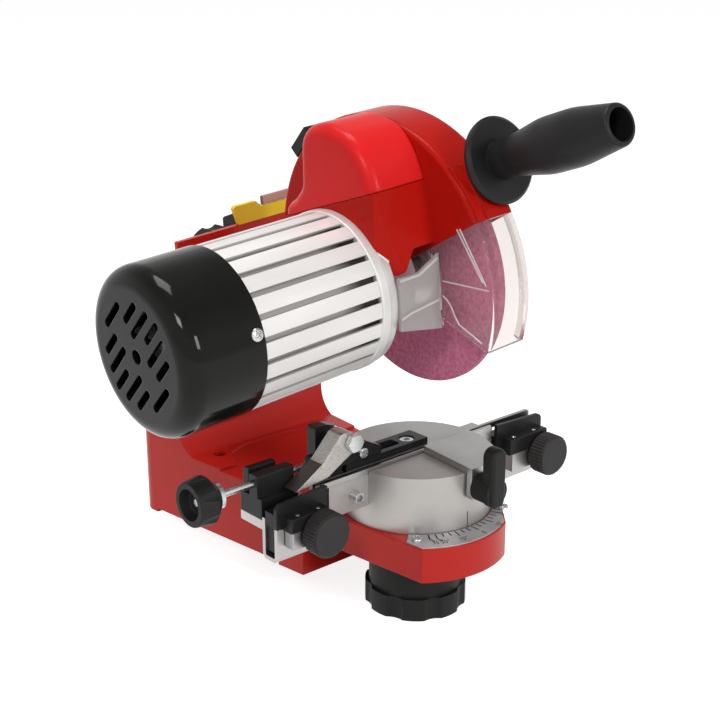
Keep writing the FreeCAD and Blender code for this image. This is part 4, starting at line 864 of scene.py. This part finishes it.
@dataclass(frozen=True)
class ScrewHead:
    """Domed screw head with a recess, as a height field on a round grid."""

    radius: float
    crown: float
    skirt: float
    drive: Drive
    turn: float = 0.0
    depth: float = 0.9
    bar: float = 0.55
    reach: float = 0.62
    rings: int = 12
    spokes: int = 48

    def spot(self, radius: float, spoke: int, height: float | None = None) -> Vector:
        """Spot of the round grid, on the head's surface or at a height.

        Args:
            radius: Distance from the axis.
            spoke: Number of the spoke.
            height: Height above the seat; the surface's own if left out.

        Returns:
            The spot.
        """
        angle = 2 * math.pi * spoke / self.spokes
        x, y = radius * math.cos(angle), radius * math.sin(angle)
        return Vector((x, y, self.skirt + self.height(x, y) if height is None else height))

    def height(self, x: float, y: float) -> float:
        """Finds the height of the head, with the recess taken off.

        Args:
            x: Place across the head.
            y: Place across the head, the other way.

        Returns:
            The height above the skirt.
        """
        share = min(1.0, math.hypot(x, y) / self.radius)
        level = self.crown * math.sqrt(max(0.0, 1.0 - share ** 3))
        angle = math.radians(self.turn)
        along = abs(x * math.cos(angle) + y * math.sin(angle))
        across = abs(-x * math.sin(angle) + y * math.cos(angle))
        limit = self.reach * self.radius if self.drive is Drive.CROSS else self.radius * 1.1
        cut = across < self.bar and along < limit
        if self.drive is Drive.CROSS:
            cut = cut or (along < self.bar and across < limit)
        return level - (self.depth if cut else 0.0)

    def add_to(self, mesh: Mesh, seat: Vector, out: Vector) -> None:
        """Adds one head to a mesh.

        Args:
            mesh: The mesh to add to.
            seat: Middle of the head's underside.
            out: The way the head faces.
        """
        turn = out.to_track_quat("Z", "Y").to_matrix()
        middle = mesh.verts.new(seat + turn @ Vector((0, 0, self.skirt + self.height(0, 0))))
        grid = [(self.radius * ring / self.rings, None) for ring in range(1, self.rings + 1)]
        rows = [
            [mesh.verts.new(seat + turn @ self.spot(radius, s, height)) for s in range(self.spokes)]
            for radius, height in (*grid, (self.radius, 0.0))]
        for spoke in range(self.spokes):
            mesh.faces.new((middle, rows[0][spoke], rows[0][(spoke + 1) % self.spokes]))
        for inner, outer in zip(rows, rows[1:]):
            add_band(mesh, inner, outer)
        mesh.faces.new(list(reversed(rows[-1])))


# -------- assemblies
class Assembly:
    """Base of every group of pieces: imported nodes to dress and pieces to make."""

    finishes: Outfit = {}

    def make(self) -> list[Thing]:
        """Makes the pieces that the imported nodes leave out."""
        return []

    def build(self) -> list[Thing]:
        """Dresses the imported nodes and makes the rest.

        Returns:
            The pieces made.
        """
        WARDROBE.dress_nodes(self.finishes)
        return self.make()


# -------- base
@dataclass
class AngleScale:
    """Graduated plate round the nose, with its numbers and screws."""

    swivel: Flat = (7.5, -141.5)
    top: float = 50.8
    start: float = 48.0
    short: float = 4.0
    long: float = 6.2
    shortest: float = 1.0
    trim: float = 0.25
    margin: float = 0.5
    line: float = 0.85
    lift: float = 0.06
    leader_lean: float = 2.6
    leader_rise: float = 2.6
    number_at: float = 58.8
    number_size: float = 5.6
    number_lean: float = 3.6
    number_narrow: float = 0.74
    step: int = 5
    last: int = 35
    numbered: tuple[int, ...] = (-15, 0, 15)
    leaders: tuple[int, ...] = (-35, -30, 30, 35)
    screw_at: tuple[float, ...] = (-43.0, 39.0)
    screw_reach: float = 54.0
    probe: float = 2.0

    def __post_init__(self) -> None:
        """Keeps the plate's surface to test spots against."""
        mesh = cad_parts["angle_scale"].data
        corners = [corner.co.copy() for corner in mesh.vertices]
        self.plate = BVHTree.FromPolygons(corners, [tuple(face.vertices) for face in mesh.polygons])

    def on_plate(self, spot: Vector) -> bool:
        """Tells whether the plate lies under a spot."""
        above = (spot + Vector((0, 0, self.probe))) * MM
        return self.plate.ray_cast(above, Vector((0, 0, -1)), 2 * self.probe * MM)[0] is not None

    def spot(self, degrees: float, reach: float) -> Vector:
        """Finds a spot on the plate.

        Args:
            degrees: Its angle from the front.
            reach: Its distance from the swivel axis.

        Returns:
            The spot, in millimetres.
        """
        angle = math.radians(degrees)
        x, y = self.swivel[0] + reach * math.sin(angle), self.swivel[1] - reach * math.cos(angle)
        return Vector((x, y, self.top))

    def lean(self, degrees: int, amount: float) -> float:
        """Turn of an outer number or its leader towards the front; 0 for the others."""
        return math.copysign(amount, -degrees) if degrees in self.leaders else 0.0

    def make_lines(self) -> Thing:
        """Inks the graduation and the bent leaders of the outer numbers.

        Returns:
            The lines' object.
        """
        mesh = bmesh.new()
        rise = Vector((0, 0, self.lift))
        for degrees in range(-self.last, self.last + 1, self.step):
            numbered = degrees in self.numbered or degrees in self.leaders
            length = self.long if numbered else self.short
            while length > self.shortest:
                if self.on_plate(self.spot(degrees, self.start + length + self.margin)):
                    break
                length -= self.trim
            knee = self.spot(degrees, self.start + length)
            add_stroke(mesh, self.spot(degrees, self.start), knee, self.line / 2, rise)
            if degrees in self.leaders and length == self.long:
                angle = degrees + self.lean(degrees, self.leader_lean)
                end = self.spot(angle, self.start + length + self.leader_rise)
                add_stroke(mesh, knee, end, self.line / 2, rise)
        return put("scale_lines", mesh, Datum.PART, "base", Finish.SCALE_INK)

    def make_number(self, degrees: int) -> Thing:
        """Inks the number of one graduation.

        Args:
            degrees: The angle it stands for.

        Returns:
            The number's object.
        """
        sign = "p" if degrees >= 0 else "m"
        curve = bpy.data.curves.new(f"number_{sign}{abs(degrees)}", "FONT")
        curve.body = str(abs(degrees)) + ("°" if degrees else "")
        curve.size = self.number_size * MM
        curve.extrude = self.lift * MM
        curve.align_x = curve.align_y = "CENTER"
        curve.resolution_u = 3
        number = bpy.data.objects.new(curve.name, curve)
        bpy.context.scene.collection.objects.link(number)
        angle = degrees + self.lean(degrees, self.number_lean)
        number.location = self.spot(angle, self.number_at) * MM
        number.rotation_euler = (0.0, 0.0, math.radians(angle))
        number.scale = (self.number_narrow, 1.0, 1.0)
        WARDROBE.dress(number, Finish.SCALE_INK)
        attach(number, "base")
        return number

    def make_screws(self) -> Thing:
        """Makes the two cross head screws of the plate.

        Returns:
            The screws' object.
        """
        mesh = bmesh.new()
        head = ScrewHead(radius=3.4, crown=1.3, skirt=0.5, drive=Drive.CROSS, turn=20.0)
        for degrees in self.screw_at:
            head.add_to(mesh, self.spot(degrees, self.screw_reach), Vector((0, 0, 1)))
        screws = put("scale_screw_heads", mesh, Datum.PART, "base", Finish.ZINC_PLATE)
        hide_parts("scale_screws")
        return screws

    def make(self) -> list[Thing]:
        """Makes everything on the plate.

        Returns:
            The lines, the screws and the numbers.
        """
        numbers = [
            self.make_number(degrees) for degrees in (*self.leaders, *self.numbered)
            if self.on_plate(self.spot(degrees, self.number_at))]
        return [self.make_lines(), self.make_screws(), *numbers]


@dataclass
class Base(Assembly):
    """Cast bench base with its angle scale."""

    scale: AngleScale = field(default_factory=AngleScale)
    finishes = {Finish.RED_ENAMEL: ("base_casting",), Finish.SCALE_SILVER: ("angle_scale",)}

    def make(self) -> list[Thing]:
        """Makes what is on the plate."""
        return self.scale.make()


# -------- vise
@dataclass
class Vise(Assembly):
    """Swivelling turret with its jaws, arm, cam lever and lock wheel."""

    turret_radius: float = 46.6
    turret_low: float = -35.6
    pointer_degrees: float = -2.6
    pointer_foot: float = 0.4
    pointer_height: float = 10.0
    pointer_width: float = 0.55
    pointer_sunk: float = 0.05
    pointer_thick: float = 0.1
    finishes = {
        Finish.TURRET_SATIN: ("vise_turret",),
        Finish.ZINC_PLATE: ("clamp_stud", "clamp_washer", "cam_pin", "beam_screw"),
        Finish.SATIN_BLACK: ("lock_handwheel", "cam_lever"),
        Finish.GROUND_STEEL: ("front_jaw", "rear_jaw"),
        Finish.ARM_SATIN: ("clamp_arm",)}

    def make(self) -> list[Thing]:
        """Cuts the pointer line into the turret's side.

        Returns:
            The pointer.
        """
        mesh = bmesh.new()
        angle = math.radians(self.pointer_degrees)
        out = Vector((math.sin(angle), -math.cos(angle), 0.0))
        low = Vector((0, 0, self.turret_low + self.pointer_foot))
        foot = out * (self.turret_radius - self.pointer_sunk) + low
        top = foot + Vector((0, 0, self.pointer_height))
        add_stroke(mesh, foot, top, self.pointer_width / 2, out * self.pointer_thick)
        return [put("turret_pointer", mesh, Datum.VISE, "turret", Finish.BLACKENED_STEEL)]


@dataclass
class ChainStop(Assembly):
    """Sliding stop with its pawl and the fine adjuster."""

    ear_screw: Spot = (-44.4, -0.3, 9.6)
    finishes = {
        Finish.BLACKENED_STEEL: ("stop_bar", "stop_carriage", "adjuster_block"),
        Finish.ZINC_PLATE: ("stop_bar_screw", "pawl_bolt", "adjuster_screw"),
        Finish.PAWL_STEEL: ("chain_stop_pawl",),
        Finish.SATIN_BLACK: ("adjuster_knob",)}

    def make(self) -> list[Thing]:
        """Makes the slotted screw in the stop's ear.

        Returns:
            The screw.
        """
        mesh = bmesh.new()
        head = ScrewHead(
            radius=3.2, crown=0.35, skirt=0.9, drive=Drive.SLOT, turn=-30.0, depth=0.6, bar=0.4)
        head.add_to(mesh, Vector(self.ear_screw), Vector((0, -1, 0)))
        return [put("ear_screw", mesh, Datum.VISE, "carriage", Finish.ZINC_PLATE)]


@dataclass
class ChainRest(Assembly):
    """One chain rest with its channel, shoe, knob and two pins."""

    hand: str
    pins: Flat
    pin_radius: float = 1.45
    pin_seat: Flat = (-13.75, -7.4)

    def __post_init__(self) -> None:
        """Names the nodes of this hand."""
        self.finishes = {
            Finish.BLACKENED_STEEL: (f"chain_rest_{self.hand}",),
            Finish.CHANNEL_SATIN: (f"rest_channel_{self.hand}", f"rest_shoe_{self.hand}"),
            Finish.KNOB_BLACK: (f"rest_knob_{self.hand}",)}

    def make(self) -> list[Thing]:
        """Makes the pins in the rest's clamp block.

        Returns:
            The pins.
        """
        mesh = bmesh.new()
        head = ScrewHead(
            radius=self.pin_radius, crown=0.4, skirt=0.3, drive=Drive.SLOT, depth=0.15, bar=0.25,
            rings=6, spokes=24)
        for x in self.pins:
            head.add_to(mesh, Vector((x, *self.pin_seat)), Vector((0, 0, 1)))
        body = f"rest_{self.hand}"
        return [put(f"rest_pins_{self.hand}", mesh, Datum.VISE, body, Finish.ZINC_PLATE)]


# -------- tilt bracket
@dataclass
class TiltBracket(Assembly):
    """Bracket on the column with the tilt clamp and the switch."""

    finishes = {
        Finish.RED_ENAMEL: ("tilt_bracket",),
        Finish.ZINC_PLATE: ("tilt_bolt", "tilt_washer", "pivot_pin"),
        Finish.SATIN_BLACK: ("tilt_knob", "switch_body", "cable_gland"),
        Finish.SWITCH_YELLOW: ("switch_frame",),
        Finish.START_GREEN: ("start_button",),
        Finish.STOP_RED: ("stop_button",),
        Finish.FLAP_SMOKE: ("switch_flap",)}


# -------- motor head
@dataclass
class Motor(Assembly):
    """Motor housing with its fan cap, screws, shaft and fan."""

    screw_x: float = -150.3
    screw_seat: float = 46.6
    screw_angles: tuple[float, ...] = (167.0, 47.0, 287.0)
    finishes = {
        Finish.HOUSING_RIBBED: ("motor_housing",),
        Finish.CAST_ALUMINIUM: ("front_bell",),
        Finish.BELL_SATIN: ("rear_bell",),
        Finish.ZINC_PLATE: ("bearings",),
        Finish.LAMINATION: ("stator", "rotor"),
        Finish.CAP_GLOSS: ("fan_cap",),
        Finish.GROUND_STEEL: ("motor_shaft",),
        Finish.FAN_PLASTIC: ("cooling_fan",)}

    def make(self) -> list[Thing]:
        """Makes the cross head screws of the cap.

        Returns:
            The screws.
        """
        mesh = bmesh.new()
        head = ScrewHead(radius=3.6, crown=1.0, skirt=0.6, drive=Drive.CROSS, turn=30.0)
        for degrees in self.screw_angles:
            angle = math.radians(degrees)
            out = Vector((0.0, math.cos(angle), math.sin(angle)))
            head.add_to(mesh, out * self.screw_seat + Vector((self.screw_x, 0, 0)), out)
        screws = put("cap_screw_heads", mesh, Datum.HEAD, "head", Finish.ZINC_PLATE)
        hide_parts("cap_screws")
        return [screws]


@dataclass
class HoodCover(Assembly):
    """D-shaped cover over the motor flange, with a softly rounded end."""

    left: float = -60.8
    right: float = -23.2
    wall: float = 2.4
    end_round: float = 7.0
    steps: int = 8
    smooth: float = 50.0
    seam: Flat = (-37.0, 62.3)
    seam_fall: float = 1.0 / 3.0
    profile: tuple[tuple[float, ...], ...] = (
        (-37.0, 40.0), (-37.0, 63.0, 14.0), (-31.5, 77.0, 40.0), (-20.5, 90.0, 25.0),
        (3.0, 95.5, 33.0), (24.0, 89.5, 16.5), (26.4, 56.0, 10.0), (34.0, 47.5, 8.0),
        (43.0, 42.0, 8.5), (43.0, 28.0))

    def shell(self) -> Mesh:
        """Draws the cover's closed shell, down past its seam.

        Returns:
            The shell's mesh.
        """
        mesh = bmesh.new()
        points = list(reversed(rounded(list(self.profile))))
        inner = inset(points, self.wall)
        rings = []
        for part in range(self.steps + 1):
            angle = math.pi / 2 * part / self.steps
            ring = inset(points, self.end_round * (1 - math.sin(angle)))
            rings.append((ring, self.left + self.end_round * (1 - math.cos(angle))))
        rings += [(points, self.right), (inner, self.right), (inner, self.left + self.wall)]
        rows = [[mesh.verts.new((x, y, z)) for y, z in ring] for ring, x in rings]
        for first, second in zip(rows, rows[1:]):
            add_band(mesh, first, second)
        mesh.faces.new(rows[0])
        mesh.faces.new(list(reversed(rows[-1])))
        return mesh

    def make(self) -> list[Thing]:
        """Makes the cover in place of its plain solid, cut at the sloping seam.

        Returns:
            The cover.
        """
        mesh = self.shell()
        cut = bmesh.ops.bisect_plane(
            mesh, geom=[*mesh.verts, *mesh.edges, *mesh.faces], plane_co=(0.0, *self.seam),
            plane_no=(0.0, self.seam_fall, 1.0), clear_inner=True)["geom_cut"]
        edges = [item for item in cut if isinstance(item, bmesh.types.BMEdge)]
        bmesh.ops.holes_fill(mesh, edges=edges, sides=0)
        cover = put("hood_shell", mesh, Datum.HEAD, "head", Finish.HOOD_ENAMEL, self.smooth)
        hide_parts("hood_cover")
        return [cover]


@dataclass
class WheelGuard(Assembly):
    """Head casting with its hood, cover, eye shield, wheel and handle."""

    wall_x: float = -23.0
    apron_y: float = -47.2
    rib_proud: float = 0.6
    rib_half: float = 0.28
    bar_half: float = 0.7
    # Lines of the shield's ribs and of the bars along the apron's edges; their pale finish is a
    # painted highlight
    wall_ribs: tuple[tuple[Flat, ...], ...] = (
        ((-49.0, 5.7), (-84.4, 7.5)), ((-63.9, 38.6), (-82.6, 9.8)), ((-61.6, 38.0), (-80.2, 11.2)),
        ((-48.5, -3.2), (-51.5, -4.6), (-55.0, -8.0), (-57.8, -13.5), (-61.0, -17.6),
         (-72.0, -21.8), (-78.0, -24.5)))
    apron_ribs: tuple[tuple[Flat, ...], ...] = (
        ((-53.8, 13.2), (-39.5, 13.2), (-25.0, 19.4)),
        ((-53.8, -9.0), (-46.0, -7.0), (-24.0, -5.0), (-24.0, -11.5)))
    finishes = {
        Finish.HEAD_ENAMEL: ("head_casting",),
        Finish.GUARD_ENAMEL: ("guard_side_cover",),
        Finish.GUARD_CLEAR: ("clear_guard",),
        Finish.PINK_GRIT: ("grinding_wheel",),
        Finish.ZINC_PLATE: ("wheel_flanges", "spindle_nut", "handle_stud"),
        Finish.GRIP_BLACK: ("handle_grip",),
        Finish.SATIN_BLACK: ("dust_outlet",)}

    def add_rib(self, mesh: Mesh, points: list[Vector], out: Vector, half: float) -> None:
        """Adds a thin raised rib along a line of points.

        Args:
            mesh: The mesh to add to.
            points: The rib's middle line on the wall.
            out: The way it stands proud.
            half: Half its width.
        """
        for start, end in zip(points, points[1:]):
            add_stroke(mesh, start, end, half, out * self.rib_proud)

    def make(self) -> list[Thing]:
        """Makes the ribs of the eye shield, in a paler, less clear finish that paints the bright
        lines there as highlights.

        Returns:
            The ribs.
        """
        mesh = bmesh.new()
        for line in self.wall_ribs:
            points = [Vector((self.wall_x, y, z)) for y, z in line]
            self.add_rib(mesh, points, Vector((-1, 0, 0)), self.rib_half)
        for line in self.apron_ribs:
            points = [Vector((x, self.apron_y, z)) for x, z in line]
            self.add_rib(mesh, points, Vector((0, -1, 0)), self.bar_half)
        return [put("shield_ribs", mesh, Datum.HEAD, "head", Finish.GUARD_EDGE)]


# -------- studio
@dataclass(frozen=True)
class Lamp:
    """Square soft box: its name, place and width in metres, and power in watts."""

    name: str
    place: Spot
    width: float
    watts: float


@dataclass(frozen=True)
class PaleFloor(Coating):
    """Dull pale floor that looks white and keeps a soft shadow."""

    grey: float = 0.6
    glow: float = 0.84
    roughness: float = 0.9

    def draw(self, graph: Graph) -> None:
        """Draws the floor.

        Args:
            graph: The graph to draw on.
        """
        glow = graph.calc("MULTIPLY", graph.seen_white(), self.glow)
        graph.settle(Base_Color=(*[self.grey] * 3, 1.0), Roughness=self.roughness)
        graph.settle(Specular_IOR_Level=0.0, Emission_Color=WHITE, Emission_Strength=glow)


@dataclass
class Studio:
    """Camera, pale floor and soft light."""

    eye: Spot = (-0.54411, -0.71885, 0.41848)
    azimuth: float = -41.17
    elevation: float = 19.0
    lens: float = 70.05
    sensor: float = 36.0
    floor_level: float = -0.0166
    floor_size: float = 14.0
    ambient: float = 0.4
    overhead: float = 0.45
    dim_from: float = 0.25
    dim_to: float = 0.75
    lamps_aim: Spot = (-0.01, -0.1, 0.14)
    lamps: tuple[Lamp, ...] = (
        Lamp("key", (-1.25, -1.0, 1.2), 0.4, 10.0),
        Lamp("top", (-0.15, 0.1, 1.6), 0.7, 13.0),
        Lamp("front", (0.1, -1.8, 0.75), 0.45, 10.0))

    def place_camera(self) -> None:
        """Sets the camera at the viewing angle."""
        data = bpy.data.cameras.new("camera")
        data.lens = self.lens
        data.sensor_width = self.sensor
        data.clip_start = 0.01
        camera = bpy.data.objects.new("camera", data)
        azimuth, elevation = math.radians(self.azimuth), math.radians(self.elevation)
        forward = Vector((
            -math.sin(azimuth) * math.cos(elevation), math.cos(azimuth) * math.cos(elevation),
            -math.sin(elevation)))
        camera.rotation_euler = forward.to_track_quat("-Z", "Y").to_euler()
        camera.location = self.eye
        bpy.context.scene.collection.objects.link(camera)
        bpy.context.scene.camera = camera

    def build_world(self) -> None:
        """Sets white surroundings that grow dim overhead and light the object softly."""
        world = bpy.data.worlds.new("studio")
        bpy.context.scene.world = world
        world.use_nodes = True
        nodes = Nodes(world.node_tree)
        height = nodes.split(nodes.add("ShaderNodeTexCoord").outputs["Generated"])["Z"]
        dim = nodes.ramp(height, self.dim_from, self.dim_to, 1.0, self.overhead)
        level = nodes.ramp(nodes.seen_white(), 0.0, 1.0, self.ambient, 1.0)
        background = world.node_tree.nodes["Background"].inputs
        nodes.feed(background["Color"], WHITE)
        nodes.feed(background["Strength"], nodes.calc("MULTIPLY", dim, level))

    def build_floor(self) -> None:
        """Lays a plain pale floor that keeps the soft shadow."""
        mesh = bmesh.new()
        bmesh.ops.create_grid(mesh, x_segments=1, y_segments=1, size=self.floor_size)
        data = bpy.data.meshes.new("floor")
        mesh.to_mesh(data)
        mesh.free()
        floor = bpy.data.objects.new("floor", data)
        floor.location = (0.0, 0.0, self.floor_level)
        bpy.context.scene.collection.objects.link(floor)
        data.materials.append(PaleFloor().material("pale_floor"))

    def add_lamp(self, lamp: Lamp) -> None:
        """Adds a soft box that faces the machine.

        Args:
            lamp: What to add.
        """
        data = bpy.data.lights.new(lamp.name, "AREA")
        data.shape = "RECTANGLE"
        data.size = data.size_y = lamp.width
        data.energy = lamp.watts
        box = bpy.data.objects.new(lamp.name, data)
        box.location = lamp.place
        aim = Vector(self.lamps_aim) - Vector(lamp.place)
        box.rotation_euler = aim.to_track_quat("-Z", "Y").to_euler()
        bpy.context.scene.collection.objects.link(box)

    def build(self) -> None:
        """Sets up the whole studio."""
        bpy.context.scene.view_settings.view_transform = "Standard"
        self.place_camera()
        self.build_world()
        self.build_floor()
        for lamp in self.lamps:
            self.add_lamp(lamp)


def main() -> None:
    """Builds the studio and every assembly, and logs each piece made."""
    logging.basicConfig(level=logging.INFO, format="%(message)s")
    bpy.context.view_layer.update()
    Studio().build()
    assemblies = [
        Base(), Vise(), ChainStop(), ChainRest("left", (-90.8, -105.7)),
        ChainRest("right", (72.4, 91.2)), TiltBracket(), Motor(), WheelGuard(), HoodCover()]
    for assembly in assemblies:
        for piece in assembly.build():
            LOG.info("%s: %s", type(assembly).__name__, piece.name)


if __name__ == "__main__":
    main()
